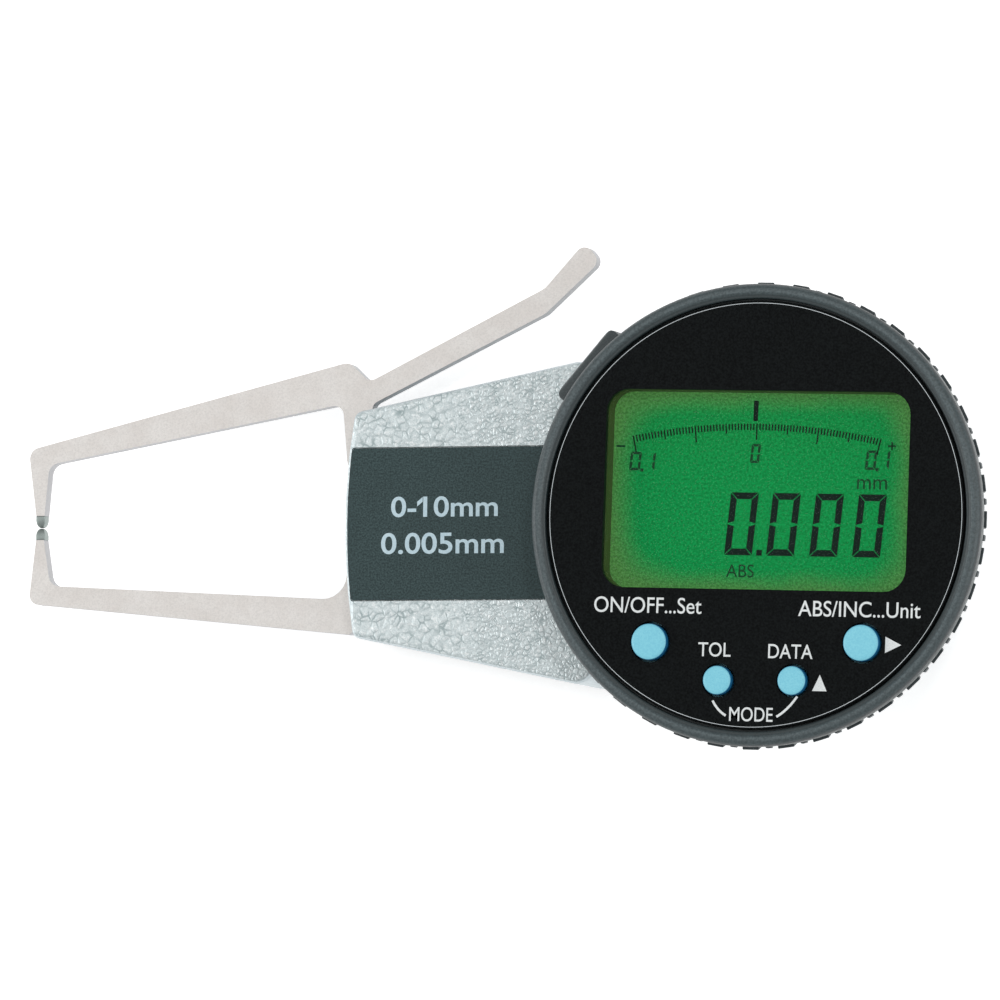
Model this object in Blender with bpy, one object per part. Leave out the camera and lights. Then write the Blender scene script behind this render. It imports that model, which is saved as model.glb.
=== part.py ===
"""Digital outside caliper gauge: a spring-closed pair of measuring arms, a wedge-shaped cast
housing and a round display head that turns on it.

It lies on its flat back with the display up: +Z is up, the arms point towards -X, and the
origin is on the display's axis at the back face.  Sizes in this file are in millimetres, and
meshes are made in metres.
"""
import math

import bmesh
import bpy
from mathutils import Vector

MM = 0.001
GAP = 0.3                     # kept between pieces that rest on each other

# Heights above the back face
COVER_TOP = 1.6
HOUSING_BACK = COVER_TOP + GAP
HOUSING_FRONT = 16.0
HOUSING_ROOF = 14.0           # underside of the housing's front plate
ARM_LOW = 8.0
ARM_HIGH = 10.0
SECTOR_LOW = 5.6
SECTOR_HIGH = ARM_LOW - GAP
CASE_BACK = HOUSING_FRONT + 0.4
CASE_FLOOR = 17.8
HUB_TOP = 18.9
PANEL_BACK = 24.9
PANEL_FRONT = 26.0
BEZEL_FRONT = 26.5

# Housing plan
WALL = 2.0
TAPER_LEFT_X = -56.9
TAPER_LEFT_HALF = 14.75
TAPER_RIGHT_X = -24.5
TAPER_RIGHT_HALF = 21.45
NECK_X = -23.5
NECK_HALF = 16.6
SEAT_RADIUS = 22.0            # round seat under the display head
END_BOW_RADIUS = 90.0         # the narrow end bows outwards
LABEL_HALF = 9.95

# Mechanism plan
PIVOT = Vector((-50.0, 4.0))
HUB_RADIUS = 5.2
PIN_RADIUS = 2.0
TIP_X = -102.0
TIP_Y = 0.4                   # height of the line where the two tips meet
PINION_TEETH = 12
GEAR_RATIO = 12.0
CENTRES = PIVOT.length
PINION_PITCH_R = CENTRES / (GEAR_RATIO + 1.0)
SECTOR_PITCH_R = CENTRES - PINION_PITCH_R
TOOTH_PITCH = 2.0 * math.pi * PINION_PITCH_R / PINION_TEETH
ARM_SWING = math.radians(10.4)
STOP_PIN = (-40.0, -2.9)
SPRING_POST = (-45.5, 13.0)
SPRING_ANCHOR = (-41.6, 5.4)
SECTOR_SCREWS = ((-44.2, 3.5), (-38.4, 3.1))
ARM_SCREWS = ((-51.9, -9.0), (-41.2, -9.2))
COVER_SCREWS = ((-46.6, -9.4), (-35.0, 14.6), (4.0, 17.2), (4.0, -17.2))
CABLE_HOLE = (5.3, 0.0)

# Display head
HEAD_TURN = math.radians(-1.5)   # the head is turned a little on the housing
BEZEL_RADIUS = 30.0
PANEL_RADIUS = 27.6
GRIP_RADIUS = 30.25
GRIP_ROOT = 29.3
GRIP_LANDS = 40
CAVITY_RADIUS = 26.8
WINDOW = (-20.1, -9.6, 20.1, 16.0)
WINDOW_CORNER = 2.9
BUTTONS = {
    "button_on_off": (-13.3, -16.6, 2.35),
    "button_abs_unit": (14.7, -16.2, 2.35),
    "button_tol": (-4.1, -21.35, 1.88),
    "button_data": (5.75, -21.2, 1.88),
}
PORT_ANGLE = math.radians(141.2)

ROUND_STEP = math.radians(15.0)


# ---------------------------------------------------------------- scene and materials

def clear_scene():
    for old in list(bpy.data.objects):
        bpy.data.objects.remove(old, do_unlink=True)


def make_material(name, colour, roughness, metallic):
    material = bpy.data.materials.new(name)
    material.use_nodes = True
    shader = material.node_tree.nodes["Principled BSDF"]
    shader.inputs["Base Color"].default_value = (*colour, 1.0)
    shader.inputs["Roughness"].default_value = roughness
    shader.inputs["Metallic"].default_value = metallic
    material.diffuse_color = (*colour, 1.0)
    return material


def make_palette():
    return {
        "hammertone": make_material("hammertone", (0.62, 0.68, 0.68), 0.35, 0.5),
        "cover_metal": make_material("cover_metal", (0.45, 0.48, 0.50), 0.4, 0.8),
        "label": make_material("label", (0.03, 0.055, 0.06), 0.5, 0.0),
        "arm_steel": make_material("arm_steel", (0.78, 0.76, 0.74), 0.35, 1.0),
        "carbide": make_material("carbide", (0.35, 0.38, 0.38), 0.3, 1.0),
        "screw_steel": make_material("screw_steel", (0.55, 0.56, 0.58), 0.3, 1.0),
        "brass": make_material("brass", (0.70, 0.52, 0.22), 0.3, 1.0),
        "spring_steel": make_material("spring_steel", (0.50, 0.50, 0.52), 0.3, 1.0),
        "board": make_material("board", (0.03, 0.22, 0.10), 0.5, 0.0),
        "case_plastic": make_material("case_plastic", (0.05, 0.07, 0.08), 0.5, 0.0),
        "bezel_plastic": make_material("bezel_plastic", (0.11, 0.15, 0.17), 0.4, 0.0),
        "panel": make_material("panel", (0.008, 0.009, 0.011), 0.25, 0.0),
        "clear_window": make_material("clear_window", (0.85, 0.92, 0.85), 0.05, 0.0),
        "lcd": make_material("lcd", (0.05, 0.40, 0.12), 0.2, 0.0),
        "light_plastic": make_material("light_plastic", (0.15, 0.20, 0.06), 0.5, 0.0),
        "button_blue": make_material("button_blue", (0.20, 0.62, 0.82), 0.3, 0.0),
        "rubber": make_material("rubber", (0.04, 0.04, 0.04), 0.8, 0.0),
        "flex": make_material("flex", (0.60, 0.32, 0.06), 0.4, 0.0),
    }


# ---------------------------------------------------------------- plane outlines

def arc(centre, radius, start, end, count):
    """Points on an arc, both ends included, angles in radians."""
    points = []
    for i in range(count + 1):
        angle = start + (end - start) * i / count
        points.append((centre[0] + radius * math.cos(angle), centre[1] + radius * math.sin(angle)))
    return points


def rounded(corners):
    """A closed outline from (x, y) and (x, y, radius) corners, with each radius as an arc."""
    points = []
    total = len(corners)
    for i, corner in enumerate(corners):
        here = Vector(corner[:2])
        radius = corner[2] if len(corner) > 2 else 0.0
        if radius == 0.0:
            points.append((here.x, here.y))
            continue
        back = (Vector(corners[i - 1][:2]) - here).normalized()
        ahead = (Vector(corners[(i + 1) % total][:2]) - here).normalized()
        half = back.angle(ahead) / 2.0
        centre = here + (back + ahead).normalized() * (radius / math.sin(half))
        first = here + back * (radius / math.tan(half)) - centre
        last = here + ahead * (radius / math.tan(half)) - centre
        sweep = first.angle_signed(last)
        steps = max(2, round(abs(sweep) / ROUND_STEP))
        start = math.atan2(first.y, first.x)
        points += arc(centre, radius, start, start - sweep, steps)
    return points


def end_bow(inset, half_height, count):
    """The bowed narrow end, from its upper corner to its lower one."""
    apex = TAPER_LEFT_X + inset - (END_BOW_RADIUS - math.sqrt(END_BOW_RADIUS ** 2 - TAPER_LEFT_HALF ** 2))
    centre = (apex + END_BOW_RADIUS, 0.0)
    reach = math.asin(half_height / END_BOW_RADIUS)
    return arc(centre, END_BOW_RADIUS, math.pi - reach, math.pi + reach, count)


def housing_outline(inset=0.0, corner=1.3, shoulder=2.5):
    """The wedge with its bowed narrow end, its shoulders and the round seat, counterclockwise."""
    seat = SEAT_RADIUS - inset
    neck = NECK_HALF - inset
    meet = math.pi - math.asin(neck / seat)
    bow = end_bow(inset, TAPER_LEFT_HALF - inset, 5)
    right_x = TAPER_RIGHT_X - inset
    right_half = TAPER_RIGHT_HALF - inset
    corners = arc((0.0, 0.0), seat, -meet, meet, 30)
    corners += [(NECK_X - inset, neck, 1.5), (right_x, right_half, shoulder)]
    corners += [(*bow[0], corner), *bow[1:-1], (*bow[-1], corner)]
    corners += [(right_x, -right_half, shoulder), (NECK_X - inset, -neck, 1.5)]
    return rounded(corners)


def rectangle(low_x, low_y, high_x, high_y, corner=0.0):
    return rounded([
        (high_x, low_y, corner), (high_x, high_y, corner),
        (low_x, high_y, corner), (low_x, low_y, corner),
    ])


def circle(centre, radius, count=24):
    return arc(centre, radius, 0.0, 2.0 * math.pi, count)[:-1]


# ---------------------------------------------------------------- solids

def prism_into(bm, outline, low, high):
    """Adds an outline extruded from one height to another; gives its top face."""
    bottom = [bm.verts.new((x * MM, y * MM, low * MM)) for x, y in outline]
    face = bm.faces.new(bottom)
    moved = bmesh.ops.extrude_face_region(bm, geom=[face])
    top = [item for item in moved["geom"] if isinstance(item, bmesh.types.BMVert)]
    bmesh.ops.translate(bm, verts=top, vec=(0.0, 0.0, (high - low) * MM))
    return [item for item in moved["geom"] if isinstance(item, bmesh.types.BMFace)][0]


def turned_into(bm, profile, centre=(0.0, 0.0), count=24):
    """Adds a closed (radius, height) profile turned about a vertical axis."""
    rings = []
    for radius, height in profile:
        if radius == 0.0:
            rings.append([bm.verts.new((centre[0] * MM, centre[1] * MM, height * MM))])
        else:
            outline = circle(centre, radius, count)
            rings.append([bm.verts.new((x * MM, y * MM, height * MM)) for x, y in outline])
    for lower, upper in zip(rings, rings[1:] + rings[:1]):
        for i in range(count):
            corners = [lower[i % len(lower)], lower[(i + 1) % len(lower)]]
            corners += [upper[(i + 1) % len(upper)], upper[i % len(upper)]]
            corners = list(dict.fromkeys(corners))
            if len(corners) > 2:
                bm.faces.new(corners)


def finish_mesh(bm):
    bmesh.ops.recalc_face_normals(bm, faces=bm.faces)


class Shop:
    """Makes the named objects, and keeps the palette and the parent of each group."""

    def __init__(self):
        self.palette = make_palette()
        self.head = self.empty("head_axis", (0.0, 0.0), HEAD_TURN)
        self.arm = self.empty("arm_axis", PIVOT, 0.0)

    def empty(self, name, place, turn):
        item = bpy.data.objects.new(name, None)
        item.location = (place[0] * MM, place[1] * MM, 0.0)
        item.rotation_euler = (0.0, 0.0, turn)
        bpy.context.collection.objects.link(item)
        bpy.context.view_layer.update()
        return item

    def add(self, name, bm, material, parent=None, on_axis=False):
        """Links a finished mesh; on_axis puts its origin on its parent's axis."""
        finish_mesh(bm)
        mesh = bpy.data.meshes.new(name)
        if on_axis:
            bm.transform(parent.matrix_world.inverted())
        bm.to_mesh(mesh)
        bm.free()
        mesh.shade_smooth()
        mesh.set_sharp_from_angle(angle=math.radians(35.0))
        item = bpy.data.objects.new(name, mesh)
        if material:
            mesh.materials.append(self.palette[material])
        bpy.context.collection.objects.link(item)
        item.parent = parent
        return item

    def cutter(self, name, bm, parent=None, on_axis=False):
        item = self.add(name, bm, None, parent, on_axis)
        item.hide_render = True
        item.display_type = "WIRE"
        return item

    def plate(self, name, outline, low, high, material, parent=None, on_axis=False):
        bm = bmesh.new()
        prism_into(bm, outline, low, high)
        return self.add(name, bm, material, parent, on_axis)

    def turned(self, name, profile, material, centre=(0.0, 0.0), count=24, parent=None, on_axis=False):
        bm = bmesh.new()
        turned_into(bm, profile, centre, count)
        return self.add(name, bm, material, parent, on_axis)


def use(item, other, operation):
    change = item.modifiers.new(other.name, "BOOLEAN")
    change.operation = operation
    change.solver = "EXACT"
    change.object = other


def drills(shop, item, holes, parent=None, on_axis=False):
    """Cuts round holes given as (x, y, radius, low, high), which must not touch each other."""
    bm = bmesh.new()
    for x, y, radius, low, high in holes:
        prism_into(bm, circle((x, y), radius, 14 if radius < 2.0 else 24), low, high)
    use(item, shop.cutter(item.name + "_drills", bm, parent, on_axis), "DIFFERENCE")


def ring_profile(inner, outer, low, high):
    return [(inner, low), (outer, low), (outer, high), (inner, high)]


def screw_profile(head_radius, head_low, head_high, shank_radius, shank_end):
    """A screw seen in half section: its head below, and its shank going up to shank_end."""
    return [
        (0.0, head_low), (head_radius, head_low), (head_radius, head_high),
        (shank_radius, head_high), (shank_radius, shank_end), (0.0, shank_end),
    ]


# ---------------------------------------------------------------- housing

def make_housing(shop):
    bm = bmesh.new()
    top = prism_into(bm, housing_outline(), HOUSING_BACK, HOUSING_FRONT)
    bmesh.ops.bevel(
        bm, geom=list(top.edges), offset=0.8 * MM, segments=2, profile=0.5, affect="EDGES",
    )
    shell = shop.add("housing_shell", bm, "hammertone")

    bm = bmesh.new()
    prism_into(bm, housing_outline(WALL, 1.0, 1.0), HOUSING_BACK - 1.0, HOUSING_ROOF)
    use(shell, shop.cutter("housing_cavity", bm), "DIFFERENCE")

    bm = bmesh.new()
    prism_into(bm, rectangle(-64.0, 1.2, -50.6, 22.0), ARM_LOW - 0.5, ARM_HIGH + 0.5)
    use(shell, shop.cutter("moving_arm_slot", bm), "DIFFERENCE")
    bm = bmesh.new()
    prism_into(bm, rectangle(-64.0, -13.2, -50.6, -4.4), ARM_LOW - GAP, ARM_HIGH + GAP)
    use(shell, shop.cutter("fixed_arm_slot", bm), "DIFFERENCE")
    bm = bmesh.new()
    prism_into(bm, label_outline(-0.15), HOUSING_FRONT - 0.5, HOUSING_FRONT + 1.0)
    use(shell, shop.cutter("label_recess", bm), "DIFFERENCE")

    bm = bmesh.new()
    for x, y in COVER_SCREWS:
        prism_into(bm, circle((x, y), 2.6, 16), HOUSING_BACK, HOUSING_ROOF + 0.5)
    for x, y in ARM_SCREWS:
        prism_into(bm, circle((x, y), 2.4, 16), ARM_HIGH + GAP, HOUSING_ROOF + 0.5)
    prism_into(bm, circle(PIVOT, 4.2), ARM_HIGH + 0.8, HOUSING_ROOF + 0.5)
    prism_into(bm, circle(STOP_PIN, 2.4, 16), ARM_HIGH + 0.8, HOUSING_ROOF + 0.5)
    prism_into(bm, circle(SPRING_POST, 2.0, 16), ARM_HIGH + 3.2, HOUSING_ROOF + 0.5)
    turned_into(bm, [
        (0.0, 12.1), (3.6, 12.1), (3.6, HOUSING_ROOF + 0.5), (7.5, HOUSING_ROOF + 0.5),
        (7.5, 18.0), (6.9, 18.0), (6.9, 18.7), (7.3, 18.7), (7.3, HUB_TOP), (0.0, HUB_TOP),
    ])
    use(shell, shop.cutter("housing_bosses", bm), "UNION")

    holes = [(x, y, 1.5, 0.0, 10.0) for x, y in COVER_SCREWS]
    holes += [(x, y, 1.5, ARM_HIGH - 1.0, 13.4) for x, y in ARM_SCREWS]
    holes.append((*PIVOT, PIN_RADIUS + GAP, ARM_HIGH, 13.6))
    holes.append((*STOP_PIN, 1.5, ARM_HIGH, 13.6))
    holes.append((*SPRING_POST, 1.3, ARM_HIGH, 14.6))
    holes.append((0.0, 0.0, 2.9, 11.0, 14.2))
    holes.append((*CABLE_HOLE, 1.3, 11.0, HUB_TOP + 1.0))
    drills(shop, shell, holes)


def label_outline(inset):
    half = LABEL_HALF - inset
    bow = end_bow(0.6 + inset, half, 6)
    corners = [(-24.0 - inset, -half), (-24.0 - inset, half)]
    corners += [(*bow[0], 0.4), *bow[1:-1], (*bow[-1], 0.4)]
    return rounded(corners)


def make_label(shop):
    shop.plate("label_plate", label_outline(0.0), HOUSING_FRONT - 0.2, HOUSING_FRONT + 0.1, "label")


def make_rear_cover(shop):
    bm = bmesh.new()
    prism_into(bm, housing_outline(0.1), 0.0, COVER_TOP)
    cover = shop.add("rear_cover", bm, "cover_metal")
    bm = bmesh.new()
    turned_into(bm, [(0.0, 1.0), (4.2, 1.0), (4.2, 4.2), (0.0, 4.2)])
    use(cover, shop.cutter("bearing_boss", bm), "UNION")
    holes = [(0.0, 0.0, 3.3, 2.0, 5.0)]
    for x, y in COVER_SCREWS:
        holes.append((x, y, 1.6, -1.0, COVER_TOP + 1.0))
    drills(shop, cover, holes)
    bm = bmesh.new()
    for x, y in COVER_SCREWS:
        prism_into(bm, circle((x, y), 2.9, 16), -1.0, 1.1)
    use(cover, shop.cutter("screw_counterbores", bm), "DIFFERENCE")
    for i, place in enumerate(COVER_SCREWS):
        name = f"cover_screw_{i + 1}"
        shop.turned(name, screw_profile(2.6, 0.15, 0.8, 1.2, 9.0), "screw_steel", place, 16)


# ---------------------------------------------------------------- measuring arms

def make_fixed_arm(shop):
    outline = rounded([
        (TIP_X + 0.45, TIP_Y - 1.6), (TIP_X - 0.65, TIP_Y - 1.6), (-103.6, -9.7, 1.3),
        (-85.2, -11.6), (-59.0, -14.1), (-57.4, -12.8, 1.0), (-50.0, -12.6), (-38.4, -12.6, 1.0),
        (-38.4, -5.0, 1.0), (-59.4, -5.0, 0.8), (-59.6, -9.5, 3.2), (-100.6, -7.35, 1.6),
    ])
    arm = shop.plate("fixed_arm", outline[::-1], ARM_LOW, ARM_HIGH, "arm_steel")
    holes = [(x, y, 1.5, ARM_LOW - 1.0, ARM_HIGH + 1.0) for x, y in ARM_SCREWS]
    post = COVER_SCREWS[0]
    holes.append((*post, 2.6 + GAP, ARM_LOW - 1.0, ARM_HIGH + 1.0))
    drills(shop, arm, holes)
    shop.plate("fixed_arm_tip", tip_outline(-1.0), ARM_LOW + 0.1, ARM_HIGH - 0.1, "carbide")
    for i, place in enumerate(ARM_SCREWS):
        profile = screw_profile(2.0, 6.2, ARM_LOW - GAP, 1.2, 13.1)
        shop.turned(f"fixed_arm_screw_{i + 1}", profile, "screw_steel", place, 16)


def tip_outline(side):
    """A round-nosed tip; side is +1 for the one above the meeting line and -1 for the one below."""
    half = 0.62
    base = TIP_Y + side * 1.3
    nose_centre = TIP_Y + side * (0.05 + half)
    start = -math.pi / 2.0 * side
    nose = arc((TIP_X - 0.1, nose_centre), half, start - math.pi / 2.0, start + math.pi / 2.0, 8)
    outline = nose + [(nose[-1][0], base), (nose[0][0], base)]
    return outline


def make_moving_arm(shop):
    left_of_hub = arc(PIVOT, HUB_RADIUS, math.radians(205.0), math.radians(275.0), 5)
    outline = rounded([
        (TIP_X - 0.65, TIP_Y + 1.6), (TIP_X + 0.5, TIP_Y + 1.6), (-100.9, 8.8, 1.6),
        (-60.2, 16.35, 1.3), (-59.5, 8.4, 2.0), *left_of_hub,
        (-45.0, 0.1, 1.5), (-36.0, 0.4, 1.5), (-36.0, 5.8, 1.5), (-38.6, 7.4, 1.5),
        (-46.6, 8.6, 1.5), (-53.6, 11.2, 1.5), (-56.7, 16.0, 1.2), (-32.6, 27.85, 2.5),
        (-25.2, 34.65, 1.3), (-27.35, 37.2, 1.3), (-32.7, 31.2, 3.0), (-56.6, 19.2, 1.3),
        (-59.35, 21.9, 1.6), (-103.8, 10.75, 1.5),
    ])
    parent = shop.arm
    arm = shop.plate("moving_arm", outline, ARM_LOW, ARM_HIGH, "arm_steel", parent, True)
    through = (ARM_LOW - 1.0, ARM_HIGH + 1.0)
    holes = [(*PIVOT, 3.2 + GAP, *through), (*SPRING_ANCHOR, 0.9, *through)]
    holes += [(x, y, 1.1, *through) for x, y in SECTOR_SCREWS]
    drills(shop, arm, holes, parent, True)
    bush = ring_profile(PIN_RADIUS + 0.1, 3.2, ARM_LOW - 0.1, ARM_HIGH + 0.4)
    shop.turned("arm_bush", bush, "brass", PIVOT, 24, parent, True)
    tip = tip_outline(1.0)
    shop.plate("moving_arm_tip", tip, ARM_LOW + 0.1, ARM_HIGH - 0.1, "carbide", parent, True)
    anchor = [(0.0, ARM_LOW), (0.6, ARM_LOW), (0.6, 12.6), (0.0, 12.6)]
    shop.turned("spring_anchor", anchor, "screw_steel", SPRING_ANCHOR, 12, parent, True)


def tooth_points(centre, radius, heading, outward, thickness):
    """Four points of one straight-sided tooth, counterclockwise about centre."""
    root = radius - 0.62 * outward
    tip = radius + 0.40 * outward
    wide = thickness * 0.62
    narrow = thickness * 0.24
    points = []
    for reach, half in ((root, -wide), (tip, -narrow), (tip, narrow), (root, wide)):
        angle = heading + half / radius
        points.append((centre[0] + reach * math.cos(angle), centre[1] + reach * math.sin(angle)))
    return points


def make_sector(shop):
    """Toothed sector on the moving arm, in mesh with the spindle's pinion."""
    to_spindle = math.atan2(-PIVOT.y, -PIVOT.x)
    pitch = TOOTH_PITCH / SECTOR_PITCH_R
    half_tooth = TOOTH_PITCH / 2.0
    rim = []
    below = 2
    above = math.ceil(ARM_SWING / pitch) + 1
    for i in range(-below, above + 1):
        heading = to_spindle + (i + 0.5) * pitch
        rim += tooth_points(PIVOT, SECTOR_PITCH_R, heading, 1.0, half_tooth)
    low = to_spindle - below * pitch
    high = to_spindle + (above + 1) * pitch
    inner = SECTOR_PITCH_R - 5.0
    lower = (PIVOT.x + inner * math.cos(low), PIVOT.y + inner * math.sin(low), 1.0)
    upper = (PIVOT.x + inner * math.cos(high), PIVOT.y + inner * math.sin(high), 1.0)
    hub = arc(PIVOT, HUB_RADIUS, math.radians(95.0), math.radians(265.0), 10)
    outline = rounded([lower, *rim, upper, *hub])
    parent = shop.arm
    sector = shop.plate("sector_gear", outline, SECTOR_LOW, SECTOR_HIGH, "brass", parent, True)
    through = (SECTOR_LOW - 1.0, SECTOR_HIGH + 1.0)
    holes = [(*PIVOT, PIN_RADIUS + GAP, *through)]
    holes += [(x, y, 1.1, *through) for x, y in SECTOR_SCREWS]
    drills(shop, sector, holes, parent, True)
    for i, place in enumerate(SECTOR_SCREWS):
        profile = screw_profile(1.7, 4.4, SECTOR_LOW - 0.2, 0.8, ARM_HIGH - 0.1)
        shop.turned(f"sector_screw_{i + 1}", profile, "screw_steel", place, 12, parent, True)


def make_pivot(shop):
    pin = [(0.0, 2.2), (1.6, 2.2), (1.6, 4.0), (PIN_RADIUS, 4.0), (PIN_RADIUS, 13.3), (0.0, 13.3)]
    shop.turned("pivot_pin", pin, "screw_steel", PIVOT)
    shop.turned("pivot_clip", ring_profile(1.9, 3.6, 2.6, 3.4), "spring_steel", PIVOT)
    stop = [(0.0, ARM_LOW), (1.2, ARM_LOW), (1.2, 13.3), (0.0, 13.3)]
    shop.turned("stop_pin", stop, "screw_steel", STOP_PIN, 16)
    post = [(0.0, 9.8), (1.0, 9.8), (1.0, 14.3), (0.0, 14.3)]
    shop.turned("spring_post", post, "screw_steel", SPRING_POST, 16)


def make_spring(shop):
    """Closing spring: a small coil drawn between the post and the anchor on the arm."""
    level = 11.6
    start = Vector((*SPRING_POST, level))
    end = Vector((*SPRING_ANCHOR, level))
    along = (end - start).normalized()
    first = start + along * 1.7
    last = end - along * 1.3
    side = Vector((0.0, 0.0, 1.0))
    other = along.cross(side)
    turns = 7
    per_turn = 9
    curve = bpy.data.curves.new("return_spring", "CURVE")
    curve.dimensions = "3D"
    curve.bevel_depth = 0.2 * MM
    curve.bevel_resolution = 0
    curve.use_fill_caps = True
    spline = curve.splines.new("POLY")
    count = turns * per_turn + 1
    spline.points.add(count - 1)
    for i in range(count):
        share = i / (count - 1)
        angle = 2.0 * math.pi * turns * share
        place = first.lerp(last, share) + 1.1 * (side * math.cos(angle) + other * math.sin(angle))
        spline.points[i].co = (*(place * MM), 1.0)
    curve.materials.append(shop.palette["spring_steel"])
    item = bpy.data.objects.new("return_spring", curve)
    bpy.context.collection.objects.link(item)


# ---------------------------------------------------------------- encoder

def make_encoder(shop):
    """The pinion spindle on the display's axis, its bearings and the sensor discs."""
    from_spindle = math.atan2(PIVOT.y, PIVOT.x)
    outline = []
    for i in range(PINION_TEETH):
        heading = from_spindle + 2.0 * math.pi * i / PINION_TEETH
        outline += tooth_points((0.0, 0.0), PINION_PITCH_R, heading, 1.0, TOOTH_PITCH / 2.0)
    bm = bmesh.new()
    prism_into(bm, outline, SECTOR_LOW - 0.3, SECTOR_HIGH + 0.3)
    spindle = shop.add("spindle_pinion", bm, "brass")
    bm = bmesh.new()
    shaft = [(0.0, 2.4), (1.2, 2.4), (1.2, 4.7), (2.2, 4.7), (2.2, 9.6), (1.2, 9.6), (1.2, 13.8), (0.0, 13.8)]
    turned_into(bm, shaft)
    use(spindle, shop.cutter("spindle_shaft", bm), "UNION")
    shop.turned("encoder_rotor", ring_profile(1.5, 9.0, 9.9, 10.7), "cover_metal")
    shop.turned("spindle_bearing_rear", ring_profile(1.3, 3.0, 2.4, 4.0), "screw_steel")
    shop.turned("spindle_bearing_front", ring_profile(1.3, 2.7, 12.2, 13.9), "screw_steel")
    board = shop.turned("encoder_stator", ring_profile(4.2, 11.0, 11.2, 12.0), "board")
    drills(shop, board, [(*CABLE_HOLE, 0.5, 10.0, 13.0)])
    strip = rectangle(CABLE_HOLE[0] - 0.15, -1.1, CABLE_HOLE[0] + 0.15, 1.1)
    shop.plate("flex_cable", strip, 12.3, HUB_TOP, "flex")


# ---------------------------------------------------------------- display head

def make_head_case(shop):
    profile = [
        (7.8, CASE_BACK), (25.4, CASE_BACK), (26.3, CASE_BACK + 0.8), (28.7, 21.6), (28.7, 24.3),
        (CAVITY_RADIUS, 24.3), (CAVITY_RADIUS, 20.8), (24.6, 20.8), (24.6, CASE_FLOOR), (7.8, CASE_FLOOR),
    ]
    case = shop.turned("head_case", profile, "case_plastic", count=72, parent=shop.head)
    bm = bmesh.new()
    prism_into(bm, port_outline(22.0, 34.0, 4.4), 18.5, 20.3)
    use(case, shop.cutter("port_opening", bm, shop.head), "DIFFERENCE")
    bm = bmesh.new()
    turned_into(bm, ring_profile(8.1, 12.0, CASE_BACK - 1.0, CASE_BACK + 0.5))
    use(case, shop.cutter("washer_recess", bm, shop.head), "DIFFERENCE")
    washer = ring_profile(8.4, 11.7, HOUSING_FRONT + 0.15, CASE_BACK + 0.3)
    shop.turned("friction_washer", washer, "spring_steel", parent=shop.head)
    shop.turned("retaining_ring", ring_profile(7.1, 9.3, 18.1, 18.6), "spring_steel")


def port_outline(inner, outer, half):
    """A block standing square to the head's radius at the port."""
    along = Vector((math.cos(PORT_ANGLE), math.sin(PORT_ANGLE)))
    across = Vector((-along.y, along.x))
    corners = [(inner, -half), (outer, -half), (outer, half), (inner, half)]
    return [tuple(along * reach + across * side) for reach, side in corners]


def make_port_cover(shop):
    bm = bmesh.new()
    prism_into(bm, port_outline(29.1, 31.9, 5.6), 17.3, 21.7)
    edges = [edge for edge in bm.edges if all(vert.co.xy.length > 30.5 * MM for vert in edge.verts)]
    bmesh.ops.bevel(bm, geom=edges, offset=0.8 * MM, segments=2, profile=0.5, affect="EDGES")
    cover = shop.add("port_cover", bm, "case_plastic", shop.head)
    bm = bmesh.new()
    prism_into(bm, port_outline(25.4, 30.0, 3.9), 18.8, 20.0)
    use(cover, shop.cutter("port_tongue", bm, shop.head), "UNION")


def make_grip_ring(shop):
    """Ring with wide lands for turning the head, pressed on the case below the bezel."""
    pitch = 2.0 * math.pi / GRIP_LANDS
    outline = []
    for i in range(GRIP_LANDS):
        heading = i * pitch
        for share, radius in ((-0.26, GRIP_ROOT), (-0.235, GRIP_RADIUS), (0.235, GRIP_RADIUS), (0.26, GRIP_ROOT)):
            angle = heading + share * pitch
            outline.append((radius * math.cos(angle), radius * math.sin(angle)))
    ring = shop.plate("grip_ring", outline, 22.2, 24.2, "case_plastic", shop.head)
    bm = bmesh.new()
    prism_into(bm, circle((0.0, 0.0), 28.7 + 0.2, 72), 21.0, 25.0)
    use(ring, shop.cutter("grip_bore", bm, shop.head), "DIFFERENCE")


def make_bezel(shop):
    profile = [
        (26.2, 24.6), (29.75, 24.6), (BEZEL_RADIUS, 24.95), (29.7, 25.8), (29.1, 26.3),
        (28.6, BEZEL_FRONT), (28.0, 26.15), (27.9, 24.9 - 0.05), (26.2, 24.9 - 0.05),
    ]
    shop.turned("bezel_ring", profile, "bezel_plastic", count=72, parent=shop.head)


def make_panel(shop):
    bm = bmesh.new()
    top = prism_into(bm, circle((0.0, 0.0), PANEL_RADIUS, 72), PANEL_BACK + 0.2, PANEL_FRONT)
    bmesh.ops.bevel(bm, geom=list(top.edges), offset=0.15 * MM, segments=1, affect="EDGES")
    panel = shop.add("face_panel", bm, "panel", shop.head)
    bm = bmesh.new()
    prism_into(bm, rectangle(*WINDOW, WINDOW_CORNER), PANEL_BACK - 1.0, PANEL_FRONT + 1.0)
    use(panel, shop.cutter("window_hole", bm, shop.head), "DIFFERENCE")
    holes = [(x, y, r + 0.3, PANEL_BACK - 1.0, PANEL_FRONT + 1.0) for x, y, r in BUTTONS.values()]
    drills(shop, panel, holes, shop.head)
    low_x, low_y, high_x, high_y = WINDOW
    inset = 0.1
    lens = rectangle(low_x + inset, low_y + inset, high_x - inset, high_y - inset, WINDOW_CORNER)
    shop.plate("display_window", lens, 25.3, PANEL_FRONT - 0.1, "clear_window", shop.head)


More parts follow.
